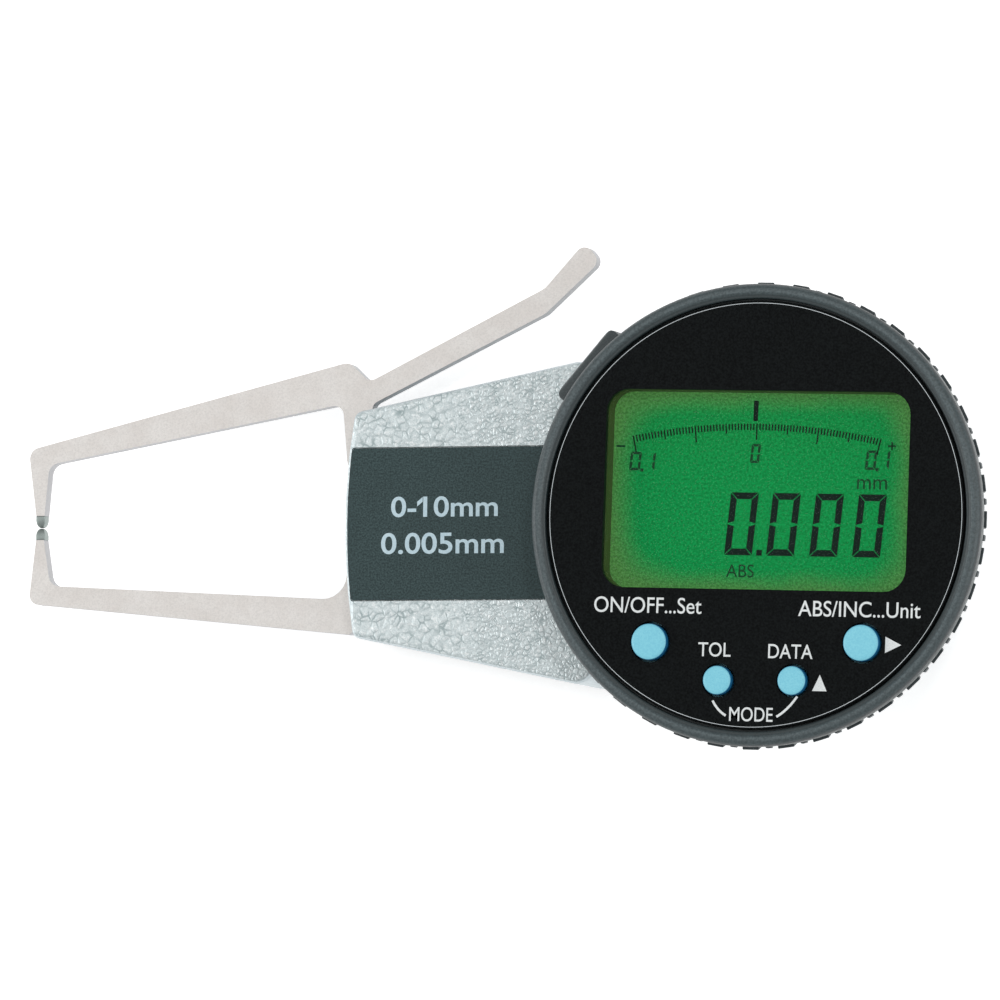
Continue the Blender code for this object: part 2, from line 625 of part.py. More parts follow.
def make_display(shop):
    """The carrier that frames the display, the glass, its light and the boards behind."""
    carrier = shop.plate(
        "display_carrier", circle((0.0, 0.0), CAVITY_RADIUS - GAP, 48), 22.5, 24.5, "light_plastic", shop.head)
    bm = bmesh.new()
    prism_into(bm, rectangle(*WINDOW, WINDOW_CORNER), 21.0, 26.0)
    use(carrier, shop.cutter("carrier_window", bm, shop.head), "DIFFERENCE")
    drills(shop, carrier, [(x, y, r + 0.7, 21.0, 26.0) for x, y, r in BUTTONS.values()], shop.head)

    low_x, low_y, high_x, high_y = WINDOW
    glass = rectangle(low_x - 0.3, low_y - 0.4, high_x + 0.3, high_y + 0.6, 3.0)
    shop.plate("lcd_glass", glass, 21.3, 22.2, "lcd", shop.head)
    shop.plate("backlight", glass, 20.9, 21.1, "light_plastic", shop.head)
    for side, name in ((-1.0, "contact_strip_left"), (1.0, "contact_strip_right")):
        strip = rectangle(side * 17.5 - 1.0, -8.0, side * 17.5 + 1.0, 14.0)
        shop.plate(name, strip, 20.1, 20.7, "rubber", shop.head)
    board = shop.plate("main_board", circle((0.0, 0.0), 24.2, 40), 19.2, 20.0, "board", shop.head)
    battery_place = (0.0, -15.6)
    screws = [
        (23.0 * side * math.cos(angle), 23.0 * math.sin(angle))
        for side in (-1.0, 1.0) for angle in (math.radians(22.0), math.radians(-22.0))
    ]
    holes = [(*battery_place, 6.3, 18.0, 21.0)] + [(*place, 0.8, 18.0, 21.0) for place in screws]
    drills(shop, board, holes, shop.head)
    cell = [(0.0, 18.4), (5.8, 18.4), (5.8, 20.9), (5.0, 21.2), (0.0, 21.2)]
    shop.turned("coin_battery", cell, "screw_steel", battery_place, 24, shop.head)
    shop.plate("battery_contact", rectangle(-2.0, -20.0, 2.0, -11.0), 21.25, 21.35, "brass", shop.head)

    mat = arc((0.0, 0.0), 26.4, math.radians(204.5), math.radians(335.5), 16)
    shop.plate("keypad_mat", mat, 21.6, 22.2, "rubber", shop.head)
    for i, place in enumerate(screws):
        profile = [(0.0, 18.1), (0.5, 18.1), (0.5, 20.2), (0.95, 20.2), (0.95, 20.7), (0.0, 20.7)]
        shop.turned(f"board_screw_{i + 1}", profile, "screw_steel", place, 12, shop.head)


def make_buttons(shop):
    for name, (x, y, radius) in BUTTONS.items():
        profile = [
            (0.0, 22.75), (radius + 0.4, 22.75), (radius + 0.4, 23.6), (radius, 23.6),
            (radius, 26.6), (radius - 0.35, 26.9), (0.0, 26.9),
        ]
        shop.turned(name, profile, "button_blue", (x, y), 24, shop.head)


def main():
    clear_scene()
    shop = Shop()
    make_housing(shop)
    make_label(shop)
    make_rear_cover(shop)
    make_fixed_arm(shop)
    make_moving_arm(shop)
    make_sector(shop)
    make_pivot(shop)
    make_spring(shop)
    make_encoder(shop)
    make_head_case(shop)
    make_port_cover(shop)
    make_grip_ring(shop)
    make_bezel(shop)
    make_panel(shop)
    make_display(shop)
    make_buttons(shop)


main()
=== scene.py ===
# %% [markdown]
# # A digital outside caliper gauge
# The gauge lies on its flat back with the display up. +Z is up, the arms point
# towards -X, and the middle of the round head is at the origin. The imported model
# gives the places, and this lesson gives every visible piece its shape and finish.

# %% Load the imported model
import math

import bmesh
import bpy
from mathutils import Matrix, Vector


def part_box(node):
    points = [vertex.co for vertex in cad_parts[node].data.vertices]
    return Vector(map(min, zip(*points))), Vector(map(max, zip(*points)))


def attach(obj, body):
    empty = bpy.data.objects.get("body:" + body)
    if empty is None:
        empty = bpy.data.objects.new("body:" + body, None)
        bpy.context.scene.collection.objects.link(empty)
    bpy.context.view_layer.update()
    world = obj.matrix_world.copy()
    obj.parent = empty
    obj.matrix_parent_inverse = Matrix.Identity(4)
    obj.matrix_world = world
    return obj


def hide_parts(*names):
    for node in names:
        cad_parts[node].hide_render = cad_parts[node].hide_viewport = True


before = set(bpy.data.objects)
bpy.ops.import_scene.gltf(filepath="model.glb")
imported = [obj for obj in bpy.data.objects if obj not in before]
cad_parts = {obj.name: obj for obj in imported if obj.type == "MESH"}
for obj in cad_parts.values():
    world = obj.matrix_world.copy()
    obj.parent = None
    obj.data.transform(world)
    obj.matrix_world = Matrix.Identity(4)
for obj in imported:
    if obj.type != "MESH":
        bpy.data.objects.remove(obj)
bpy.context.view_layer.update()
MM = 0.001
HEAD_TURN = math.radians(-1.5)

# %% [markdown]
# ## Working with one piece at a time
# Operators act on everything that is selected, and loading leaves the model
# selected. So each step starts by choosing one piece. A finished piece keeps its
# origin at the middle of the world, with its place and turn stored in its mesh.

# %% Choosing and settling a piece
def alone(piece):
    """Selects one piece and nothing else."""
    if bpy.context.object and bpy.context.object.mode != "OBJECT":
        bpy.ops.object.mode_set(mode="OBJECT")
    bpy.ops.object.select_all(action="DESELECT")
    piece.select_set(True)
    bpy.context.view_layer.objects.active = piece
    return piece


def settle(piece):
    """Moves a piece's place, turn and size into its mesh."""
    alone(piece)
    bpy.ops.object.transform_apply(location=True, rotation=True, scale=True)
    return piece


def fresh(name):
    """Names the piece that an operator has just made."""
    piece = bpy.context.object
    piece.name = name
    piece.data.name = name
    return piece


def pick(piece, wanted):
    """In edit mode, selects the faces that wanted(middle, normal) accepts."""
    bpy.ops.mesh.select_mode(type="FACE")
    bpy.ops.mesh.select_all(action="DESELECT")
    mesh = bmesh.from_edit_mesh(piece.data)
    for face in mesh.faces:
        face.select_set(wanted(face.calc_center_median(), face.normal))
    mesh.select_flush_mode()
    bmesh.update_edit_mesh(piece.data)


# %% Softening edges
def soften(piece, width, segments=2, limit=32.0):
    """Rounds the edges sharper than limit degrees, as a tumbled or moulded piece has them."""
    alone(piece)
    bpy.ops.object.modifier_add(type="BEVEL")
    rounding = piece.modifiers[-1]
    rounding.width = width * MM
    rounding.segments = segments
    rounding.limit_method = "ANGLE"
    rounding.angle_limit = math.radians(limit)
    rounding.use_clamp_overlap = True
    rounding.harden_normals = False
    bpy.ops.object.modifier_apply(modifier=rounding.name)
    return smooth(piece)


def smooth(piece, angle=38.0):
    """Smooths the shading, with the large flat faces deciding how their edges are lit."""
    alone(piece)
    bpy.ops.object.shade_smooth_by_angle(angle=math.radians(angle))
    bpy.ops.object.modifier_add(type="WEIGHTED_NORMAL")
    flatter = piece.modifiers[-1]
    flatter.weight = 100
    flatter.keep_sharp = True
    bpy.ops.object.modifier_apply(modifier=flatter.name)
    return piece


def cut_with(piece, cutter):
    """Cuts one piece with another, and removes the cutter."""
    alone(piece)
    bpy.ops.object.modifier_add(type="BOOLEAN")
    cut = piece.modifiers[-1]
    cut.operation = "DIFFERENCE"
    cut.solver = "EXACT"
    cut.object = cutter
    bpy.ops.object.modifier_apply(modifier=cut.name)
    bpy.data.objects.remove(cutter, do_unlink=True)
    return piece


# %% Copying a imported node
def copy_of(node):
    """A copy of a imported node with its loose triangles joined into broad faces."""
    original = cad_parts[node]
    piece = original.copy()
    piece.data = original.data.copy()
    piece.parent = None
    for key in list(piece.keys()):
        if key.startswith("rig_"):
            del piece[key]
    piece.name = node + "_finished"
    piece.data.name = piece.name
    bpy.context.scene.collection.objects.link(piece)
    piece.hide_render = False
    alone(piece)
    bpy.ops.object.mode_set(mode="EDIT")
    bpy.ops.mesh.select_all(action="SELECT")
    bpy.ops.mesh.remove_doubles(threshold=0.002 * MM)
    bpy.ops.mesh.customdata_custom_splitnormals_clear()
    bpy.ops.mesh.dissolve_limited(angle_limit=math.radians(0.5))
    bpy.ops.object.mode_set(mode="OBJECT")
    return piece


def dress(piece, finish, body, slot, *replaced):
    """Gives a piece its finish, its body and the nodes it stands for; slot is not used."""
    piece.data.materials.clear()
    piece.data.materials.append(finish)
    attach(piece, body)
    if replaced:
        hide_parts(*replaced)
    faces = sum(len(face.vertices) - 2 for face in piece.data.polygons)
    print(f"{piece.name}: {faces} triangles, rides on {body}")
    return piece


# %% [markdown]
# ## Finishes written as arithmetic
# A shader pattern is a chain of small sums. Wiring them by hand is slow to read,
# so a Wire stands for one output and lets ordinary arithmetic add the Math nodes.
# Colours go through Mix nodes instead, since a Math node would turn them grey.

# %% Wires and finishes
class Wire:
    """One output of a node, which takes part in ordinary arithmetic."""

    def __init__(self, finish, socket):
        self.finish = finish
        self.socket = socket

    def sum(self, operation, first, second=0.0):
        return self.finish.node("ShaderNodeMath", {"operation": operation}, {0: first, 1: second})

    def __add__(self, other):
        return self.sum("ADD", self, other)

    def __radd__(self, other):
        return self.sum("ADD", other, self)

    def __sub__(self, other):
        return self.sum("SUBTRACT", self, other)

    def __rsub__(self, other):
        return self.sum("SUBTRACT", other, self)

    def __mul__(self, other):
        return self.sum("MULTIPLY", self, other)

    def __rmul__(self, other):
        return self.sum("MULTIPLY", other, self)

    def __truediv__(self, other):
        return self.sum("DIVIDE", self, other)

    def __pow__(self, other):
        return self.sum("POWER", self, other)


class Finish:
    """A material with one Principled shader and the patterns that feed it."""

    def __init__(self, name, **constants):
        self.material = bpy.data.materials.new(name)
        self.material.use_nodes = True
        self.tree = self.material.node_tree
        self.shader = self.tree.nodes["Principled BSDF"]
        for socket, value in constants.items():
            self.set(socket.replace("_", " "), value)

    def set(self, name, value):
        socket = self.shader.inputs[name]
        if isinstance(value, Wire):
            self.tree.links.new(value.socket, socket)
        elif socket.type == "RGBA":
            socket.default_value = (*value, 1.0)
        else:
            socket.default_value = value

    def node(self, kind, settings, inputs, output=0):
        """Adds a node with its settings, then its sockets' values or links."""
        made = self.tree.nodes.new(kind)
        for key, value in settings.items():
            setattr(made, key, value)
        for key, value in inputs.items():
            if isinstance(value, Wire):
                self.tree.links.new(value.socket, made.inputs[key])
            else:
                made.inputs[key].default_value = value
        return Wire(self, made.outputs[output])

    def place(self):
        return self.node("ShaderNodeTexCoord", {}, {}, "Object")

    def mapped(self, turn=(0.0, 0.0, 0.0), scale=(1.0, 1.0, 1.0)):
        """Object coordinates that are turned and stretched."""
        inputs = {"Vector": self.place(), "Rotation": turn, "Scale": scale}
        return self.node("ShaderNodeMapping", {"vector_type": "POINT"}, inputs)

    def noise(self, size, detail=3.0, roughness=0.5, at=None):
        """Smooth noise whose lumps are about size millimetres across, from 0 to 1."""
        inputs = {
            "Vector": at or self.place(), "Scale": 1.0 / (size * MM), "Detail": detail,
            "Roughness": roughness,
        }
        return self.node("ShaderNodeTexNoise", {}, inputs, "Fac")

    def cells(self, size, at):
        """The distance to the nearest border between cells of about size millimetres."""
        inputs = {"Vector": at, "Scale": 1.0 / (size * MM)}
        return self.node("ShaderNodeTexVoronoi", {"feature": "DISTANCE_TO_EDGE"}, inputs, "Distance")

    def step(self, value, low, high, first=0.0, last=1.0):
        """A soft step from first to last as the value goes from low to high."""
        inputs = {"Value": value, "From Min": low, "From Max": high, "To Min": first, "To Max": last}
        return self.node("ShaderNodeMapRange", {"interpolation_type": "SMOOTHSTEP"}, inputs)

    def blend(self, mask, first, second):
        """Mixes two colours by a mask from 0 to 1."""
        first = first if isinstance(first, Wire) else (*first, 1.0)
        second = second if isinstance(second, Wire) else (*second, 1.0)
        settings = {"data_type": "RGBA", "clamp_factor": True}
        return self.node("ShaderNodeMix", settings, {0: mask, 6: first, 7: second}, 2)

    def axis(self, name, vector):
        return self.node("ShaderNodeSeparateXYZ", {}, {0: vector}, name)

    def facing_up(self):
        """1 where the surface looks up, 0 on upright sides and -1 where it looks down."""
        normal = self.node("ShaderNodeNewGeometry", {}, {}, "Normal")
        return self.axis("Z", normal)

    def bumps(self, height, depth, strength=1.0):
        """Feeds a height from 0 to 1 as bumps that are depth millimetres deep."""
        inputs = {"Height": height, "Distance": depth * MM, "Strength": strength}
        self.set("Normal", self.node("ShaderNodeBump", {}, inputs))


# %% [markdown]
# ## Hammertone paint on the cast housing
# Hammer paint draws itself into small pale islands with fine dark veins where the
# islands meet. Voronoi cells give that map: the distance to a cell's edge is the
# vein, and the same distance lifts the middle of each island. The islands are
# larger at the narrow end of the housing, so the place along X picks the cell size.

# %% Hammertone paint
def hammertone_paint():
    paint = Finish("hammertone_paint", Metallic=0.35, Coat_Weight=0.35, Coat_Roughness=0.22)
    wander = paint.node("ShaderNodeTexNoise", {}, {"Vector": paint.place(), "Scale": 900.0}, "Color")
    centred = paint.node("ShaderNodeVectorMath", {"operation": "SUBTRACT"}, {0: wander, 1: (0.5, 0.5, 0.5)})
    pushed = paint.node("ShaderNodeVectorMath", {"operation": "SCALE"}, {0: centred, "Scale": 0.0006})
    at = paint.node("ShaderNodeVectorMath", {"operation": "ADD"}, {0: paint.place(), 1: pushed})
    top = paint.step(paint.facing_up(), 0.86, 0.99)
    large = paint.cells(1.05, at)
    small = paint.cells(0.62, at)
    narrow_end = paint.axis("X", paint.place()) / MM + 7.0 * (paint.noise(6.0, 2.0) - 0.5)
    region = paint.step(narrow_end, -46.0, -38.0, 1.0, 0.0)
    edge = region * large + (1.0 - region) * small
    vein = paint.step(edge, 0.0, 0.16, 1.0, 0.0)
    broken = paint.step(paint.noise(1.6, 3.0), 0.30, 0.70)
    dome = paint.step(edge, 0.0, 0.34)
    speck = paint.noise(0.2, 3.0, 0.7)
    # Near-white flecks are painted glints: a painted highlight mixed into the colour of the top and the
    # walls.
    painted_glint = paint.step(paint.noise(0.45, 4.0, 0.75), 0.50, 0.68)
    body = paint.blend(paint.step(speck, 0.3, 0.7), (0.54, 0.62, 0.635), (0.77, 0.84, 0.845))
    lit = paint.blend(painted_glint * 0.8, body, (0.97, 1.0, 1.0))
    hammered = paint.blend(vein * broken * 0.8, lit, (0.22, 0.30, 0.31))
    # The upright walls get a darker bluish colour than the top as painted shade, with the real dark veins
    # over it.
    wall = paint.blend(0.6 * vein * broken, (0.52, 0.60, 0.63), (0.36, 0.44, 0.47))
    side = paint.blend(0.5 * speck + 0.3 * painted_glint, wall, (0.66, 0.74, 0.76))
    paint.set("Base Color", paint.blend(top, side, hammered))
    paint.set("Roughness", 0.3 + 0.16 * speck + 0.12 * vein)
    paint.bumps((0.3 + 0.7 * top) * (dome + 0.3 * speck), 0.09, 0.7)
    return paint.material


# %% [markdown]
# ## Ground steel for the arms
# The arms are blanked from plate. Their faces are blasted to an even pale satin,
# with faint cloudy mottling, and their cut sides stay greyer with fine drag lines
# that run round the edge. One material can do both, because the surface normal
# says which way a face looks.

# %% Arm steel, carbide and other metals
def arm_steel():
    steel = Finish("blasted_arm_steel", Metallic=0.85, Specular_IOR_Level=0.5)
    top = steel.step(steel.facing_up(), 0.55, 0.95)
    cloud = steel.noise(5.0, 5.0, 0.62)
    grit = steel.noise(0.22, 3.0, 0.7)
    drag = steel.noise(0.1, 2.0, 0.5, steel.mapped(scale=(0.12, 0.12, 2.5)))
    pale = steel.blend(steel.step(cloud, 0.3, 0.7), (0.725, 0.69, 0.66), (0.79, 0.765, 0.74))
    face = steel.blend(0.42 * steel.step(grit, 0.35, 0.75), pale, (0.52, 0.50, 0.48))
    side = steel.blend(drag, (0.36, 0.36, 0.37), (0.58, 0.58, 0.59))
    steel.set("Base Color", steel.blend(top, side, face))
    steel.set("Roughness", 0.42 + 0.08 * cloud + 0.1 * grit)
    steel.bumps(grit, 0.014, 0.5)
    return steel.material


def carbide():
    tip = Finish("sintered_carbide", Metallic=0.8)
    grain = tip.noise(0.12, 3.0, 0.6)
    tip.set("Base Color", tip.blend(grain, (0.20, 0.24, 0.23), (0.40, 0.45, 0.43)))
    tip.set("Roughness", 0.3 + 0.2 * grain)
    tip.bumps(grain, 0.008, 0.5)
    return tip.material


def turned_metal(name, dark, pale, groove=0.14, rough=0.25):
    """Bright metal with fine turning or rolling lines and cloudy handling marks."""
    metal = Finish(name, Metallic=1.0)
    lines = metal.noise(groove, 2.0, 0.5, metal.mapped(scale=(1.0, 0.15, 1.0)))
    haze = metal.noise(4.0, 4.0, 0.6)
    metal.set("Base Color", metal.blend(0.6 * lines + 0.4 * haze, dark, pale))
    metal.set("Roughness", rough + 0.2 * haze)
    metal.bumps(lines, 0.006, 0.4)
    return metal.material


# %% [markdown]
# ## Moulded plastics and rubber
# Moulded plastic is never one flat colour: the tool's spark-eroded grain catches
# the light, and handling polishes it in patches. A fine grain feeds the bump and a
# slow haze feeds roughness. The bezel gets a bluer grey than the case below it.

# %% Plastics
def moulded(name, dark, pale, rough, grain_size=0.18, depth=0.02, side=None, grainy=0.55, **constants):
    """Moulded plastic with tool grain; side is a darker colour painted on its upright walls as painted
    shade, if given.
    """
    plastic = Finish(name, **constants)
    grain = plastic.noise(grain_size, 3.0, 0.6)
    haze = plastic.noise(6.0, 4.0, 0.55)
    speckle = plastic.step(grain, 0.3, 0.7)
    colour = plastic.blend(grainy * speckle + (1.0 - grainy) * haze, dark, pale)
    # The side colour on upright walls is painted shade.
    if side:
        top = plastic.step(plastic.facing_up(), 0.35, 0.8)
        colour = plastic.blend(top, side, colour)
    plastic.set("Base Color", colour)
    plastic.set("Roughness", rough + 0.12 * haze)
    plastic.bumps(grain, depth, 0.55)
    return plastic.material


def satin_bezel():
    """Dark satin moulding, with a painted highlight along its ridge, painted shade on its inner band and a
    painted shadow line at its outer edge.
    """
    satin = Finish("satin_bezel", Specular_IOR_Level=0.5)
    x = satin.axis("X", satin.place()) / MM
    y = satin.axis("Y", satin.place()) / MM
    radius = (x * x + y * y) ** 0.5
    grain = satin.noise(0.3, 3.0, 0.65)
    speckle = satin.step(grain, 0.36, 0.64)
    # Painted highlight along the ridge, fading on the outer slope; inside 28.2 mm the inner band keeps the
    # darker colour as painted shade.
    painted_ridge_highlight = satin.step(radius, 28.2, 28.62) * satin.step(radius, 28.75, 29.3, 1.0, 0.55)
    # Painted shadow: a near-black line at the outer edge.
    edge = satin.step(radius, 29.5, 29.74, 1.0, 0.3)
    shade = satin.blend(painted_ridge_highlight, (0.026, 0.040, 0.043), (0.092, 0.122, 0.130))
    grainy = satin.blend(0.5 * speckle, shade, (0.015, 0.022, 0.024))
    satin.set("Base Color", satin.blend(edge, (0.010, 0.014, 0.016), grainy))
    satin.set("Roughness", 0.34 + 0.14 * grain)
    satin.bumps(grain, 0.03, 0.6)
    return satin.material


def window_glass():
    """Clear acrylic: light passes straight through, and only its gloss shows."""
    glass = Finish("window_acrylic", Roughness=0.03, IOR=1.49, Base_Color=(0.02, 0.05, 0.03))
    dust = glass.step(glass.noise(0.35, 4.0, 0.7), 0.74, 0.8)
    glass.set("Alpha", 0.02 + 0.10 * dust)
    return glass.material


# %% [markdown]
# ## The lit display
# The display is a green field lit from its edges. It is an even emerald in the middle and turns olive
# towards the rim, as painted shade for the shadow of the window's walls, and a fine grain covers it all. The
# distance to the rim of the window comes from the larger of the two side distances, in the head's own turned
# frame.

# %% The green field
WINDOW_LOW = Vector((-20.1, -9.6))
WINDOW_HIGH = Vector((20.1, 16.0))
WINDOW_MIDDLE = (WINDOW_LOW + WINDOW_HIGH) / 2.0


def lit_field():
    field = Finish("lit_green_field", Specular_IOR_Level=0.05, Emission_Strength=0.62)
    local = field.mapped(turn=(0.0, 0.0, -HEAD_TURN))
    x = field.axis("X", local) / MM - WINDOW_MIDDLE.x
    y = field.axis("Y", local) / MM - WINDOW_MIDDLE.y
    half = (WINDOW_HIGH - WINDOW_LOW) / 2.0
    across = x.sum("ABSOLUTE", x) / half.x
    along = y.sum("ABSOLUTE", y) / half.y
    side = (across ** 7.0 + along ** 5.0) ** 0.2
    cloud = field.noise(9.0, 2.0)
    # Painted shade: the field turns olive near the window's rim, standing for the walls' shadow.
    rim = field.step(side + 0.2 * (cloud - 0.5), 0.75, 1.07)
    warm = field.step(y / half.y + 0.35 * (cloud - 0.5), -0.2, 1.3)
    heart = field.blend(0.75 * warm, (0.004, 0.215, 0.050), (0.007, 0.195, 0.042))
    colour = field.blend(rim, heart, (0.070, 0.212, 0.052))
    grain = field.noise(0.3, 2.0, 0.7)
    dull = field.blend(field.step(grain, 0.38, 0.62), (0.0, 0.0, 0.0), (1.0, 1.0, 1.0))
    settings = {"data_type": "RGBA", "blend_type": "MULTIPLY"}
    grainy = field.node("ShaderNodeMix", settings, {0: 0.42, 6: colour, 7: dull}, 2)
    field.set("Base Color", grainy)
    field.set("Emission Color", grainy)
    field.set("Roughness", 0.3 + 0.2 * grain)
    return field.material


# %% [markdown]
# ## Making all the finishes
# Each finish is made once and shared by the pieces that are made of it.

# %% The palette
PALETTE = {
    "hammertone": hammertone_paint(),
    "arm_steel": arm_steel(),
    "carbide": carbide(),
    "cover_metal": turned_metal("rolled_cover_plate", (0.10, 0.115, 0.12), (0.22, 0.24, 0.25), 0.2, 0.34),
    "screw_steel": turned_metal("turned_screw_steel", (0.36, 0.37, 0.38), (0.62, 0.63, 0.64)),
    "spring_steel": turned_metal("drawn_spring_wire", (0.28, 0.28, 0.30), (0.5, 0.5, 0.52)),
    "brass": turned_metal("machined_brass", (0.50, 0.34, 0.11), (0.75, 0.57, 0.25)),
    "label": moulded(
        "anodised_label", (0.013, 0.026, 0.027), (0.055, 0.094, 0.097), 0.46, 0.24, 0.012,
        grainy=0.75, Specular_IOR_Level=0.25),
    "bezel_plastic": satin_bezel(),
    "case_plastic": moulded("case_moulding", (0.018, 0.027, 0.030), (0.050, 0.066, 0.070), 0.42, 0.25, 0.03),
    # The grip moulding's near-black upright walls are painted shade for the gaps between the lands.
    "grip_plastic": moulded(
        "grip_moulding", (0.42, 0.44, 0.44), (0.62, 0.64, 0.64), 0.4, 0.25, 0.02, (0.028, 0.036, 0.040)),
    "panel": moulded(
        "black_face_panel", (0.0006, 0.0009, 0.0011), (0.0085, 0.0105, 0.0110), 0.30, 0.24, 0.006,
        grainy=0.8, Specular_IOR_Level=0.05),
    "painted_highlight_edge": turned_metal("painted_highlight_panel_edge", (0.30, 0.34, 0.35), (0.70, 0.74, 0.76), 0.4, 0.12),
    "light_plastic": moulded(
        "light_guide", (0.040, 0.064, 0.016), (0.085, 0.120, 0.034), 0.4, 0.3, 0.02,
        Specular_IOR_Level=0.25),
    # The caps' dark blue upright walls are painted shade; the top is the cap's own light blue.
    "button_blue": moulded(
        "button_cap", (0.170, 0.56, 0.72), (0.26, 0.70, 0.82), 0.32, 0.2, 0.01, (0.012, 0.16, 0.36)),
    "rubber": moulded("soft_rubber", (0.012, 0.012, 0.013), (0.035, 0.035, 0.037), 0.7),
    "board": moulded("circuit_board", (0.010, 0.10, 0.035), (0.030, 0.20, 0.08), 0.35, 0.8),
    "flex": moulded("flat_cable", (0.35, 0.15, 0.03), (0.60, 0.32, 0.08), 0.35, 0.5),
    "panel_print": moulded(
        "panel_print", (0.62, 0.66, 0.66), (0.90, 0.93, 0.93), 0.5, 0.2, 0.004, Specular_IOR_Level=0.2),
    "label_print": moulded(
        "label_print", (0.44, 0.60, 0.68), (0.62, 0.76, 0.82), 0.5, 0.3, 0.004, Specular_IOR_Level=0.2),
    "segment": moulded(
        "display_segment", (0.002, 0.008, 0.006), (0.006, 0.020, 0.014), 0.4, 0.3, 0.002,
        Specular_IOR_Level=0.1),
    "faint_segment": moulded(
        "faint_display_segment", (0.006, 0.040, 0.018), (0.010, 0.070, 0.028), 0.4, 0.3, 0.002,
        Specular_IOR_Level=0.1),
    "clear_window": window_glass(),
    "lcd": lit_field(),
}
print("finishes:", len(PALETTE))

# %% [markdown]
# ## Inner pieces
# The gears, boards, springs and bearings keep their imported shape. Each only needs
# the finish of its slot, which the record names.

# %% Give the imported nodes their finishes
SLOT_OF_INNER = {
    "brass": ["sector_gear", "spindle_pinion", "arm_bush", "battery_contact"],
    "screw_steel": [
        "sector_screw_1", "sector_screw_2", "fixed_arm_screw_1", "fixed_arm_screw_2", "pivot_pin",
        "stop_pin", "spring_post", "spring_anchor", "spindle_bearing_rear", "spindle_bearing_front",
        "coin_battery", "board_screw_1", "board_screw_2", "board_screw_3", "board_screw_4",
    ],
    "spring_steel": ["return_spring", "pivot_clip", "retaining_ring", "friction_washer"],
    "cover_metal": ["encoder_rotor"],
    "board": ["encoder_stator", "main_board"],
    "rubber": ["contact_strip_left", "contact_strip_right", "keypad_mat"],
    "light_plastic": ["backlight", "display_carrier"],
    "lcd": ["lcd_glass"],
    "flex": ["flex_cable"],
}
for slot_name, members in SLOT_OF_INNER.items():
    for member in members:
        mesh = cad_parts[member].data
        mesh.materials.clear()
        mesh.materials.append(PALETTE[slot_name])
print("inner nodes finished:", sum(len(members) for members in SLOT_OF_INNER.values()))

# %% [markdown]
# ## The housing and its back plate
# The housing is a casting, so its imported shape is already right, and it needs the
# soft edges that paint and a mould leave. A copy is joined into broad faces first,
# and then a Bevel modifier rounds what is sharp. The plate behind is thinner and
# gets a smaller edge.

# %% Housing and back plate
housing = soften(copy_of("housing_shell"), 0.22, 3, 25.0)
dress(housing, PALETTE["hammertone"], "housing", "hammertone", "housing_shell")
back_plate = soften(copy_of("rear_cover"), 0.12)
dress(back_plate, PALETTE["cover_metal"], "housing", "cover_metal", "rear_cover")

# %% [markdown]
# ## Screws in the back
# Each pan head is a short cylinder with a rolled edge. A cross recess is two thin
# crossed blocks cut into it. A loop makes one screw in each of the four holes.

# %% Back screws
def cylinder(name, place, radius, low, high, sides):
    """An upright cylinder between two heights, in millimetres."""
    bpy.ops.object.select_all(action="DESELECT")
    middle = (place[0] * MM, place[1] * MM, (low + high) / 2.0 * MM)
    bpy.ops.mesh.primitive_cylinder_add(
        vertices=sides, radius=radius * MM, depth=(high - low) * MM, location=middle)
    return settle(fresh(name))


def pan_head(name, place, radius, low, high):
    """A screw head with a rolled edge and a cross recess in its lower face."""
    head = cylinder(name, place, radius, low, high, 48)
    bpy.ops.object.mode_set(mode="EDIT")
    pick(head, lambda at, normal: normal.z < -0.9)
    bpy.ops.mesh.inset(thickness=0.32 * MM)
    bpy.ops.object.mode_set(mode="OBJECT")
    soften(head, 0.16, 3)
    for turn in (0.0, math.pi / 2.0):
        bpy.ops.object.select_all(action="DESELECT")
        bpy.ops.mesh.primitive_cube_add(size=1.0, location=(place[0] * MM, place[1] * MM, low * MM))
        blade = bpy.context.object
        blade.scale = (radius * 1.15 * MM, 0.42 * MM, 0.8 * MM)
        blade.rotation_euler = (0.0, 0.0, turn + math.radians(20.0))
        settle(blade)
        cut_with(head, blade)
    return smooth(head)


def join(piece, *others):
    """Joins other pieces into one."""
    alone(piece)
    for other in others:
        other.select_set(True)
    bpy.ops.object.join()
    return piece


for number in range(1, 5):
    node = f"cover_screw_{number}"
    low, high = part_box(node)
    place = (low + high).xy / 2.0 / MM
    head = pan_head(node + "_head", place, 2.55, low.z / MM, 0.8)
    body = cylinder(node + "_shank", place, 1.2, 0.75, high.z / MM, 20)
    dress(join(head, body), PALETTE["screw_steel"], "housing", "screw_steel", node)

# %% [markdown]
# ## The label
# The label is an anodised plate let into the housing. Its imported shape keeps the
# bowed left end; its edges are only broken a little. The range and the reading
# step are plain numbers, printed in a pale ink.

# %% Blocks and printed words
def block(name, low, high):
    """A block between two corners, in millimetres."""
    bpy.ops.object.select_all(action="DESELECT")
    middle = (Vector(low) + Vector(high)) / 2.0 * MM
    bpy.ops.mesh.primitive_cube_add(size=1.0, location=middle)
    piece = fresh(name)
    piece.scale = (Vector(high) - Vector(low)) * MM
    return settle(piece)


def letters(words, weight, thick):
    """Flat letters with a small thickness, made into a mesh, with their baseline at zero."""
    bpy.ops.object.select_all(action="DESELECT")
    bpy.ops.object.text_add()
    piece = bpy.context.object
    piece.data.body = words
    piece.data.size = MM
    piece.data.offset = weight * MM
    piece.data.extrude = thick / 2.0 * MM
    piece.data.resolution_u = 6
    alone(piece)
    bpy.ops.object.convert(target="MESH")
    return bpy.context.object


def span(piece, axis):
    """The lowest and highest coordinate of a piece along one axis."""
    values = [vert.co[axis] for vert in piece.data.vertices]
    return min(values), max(values)


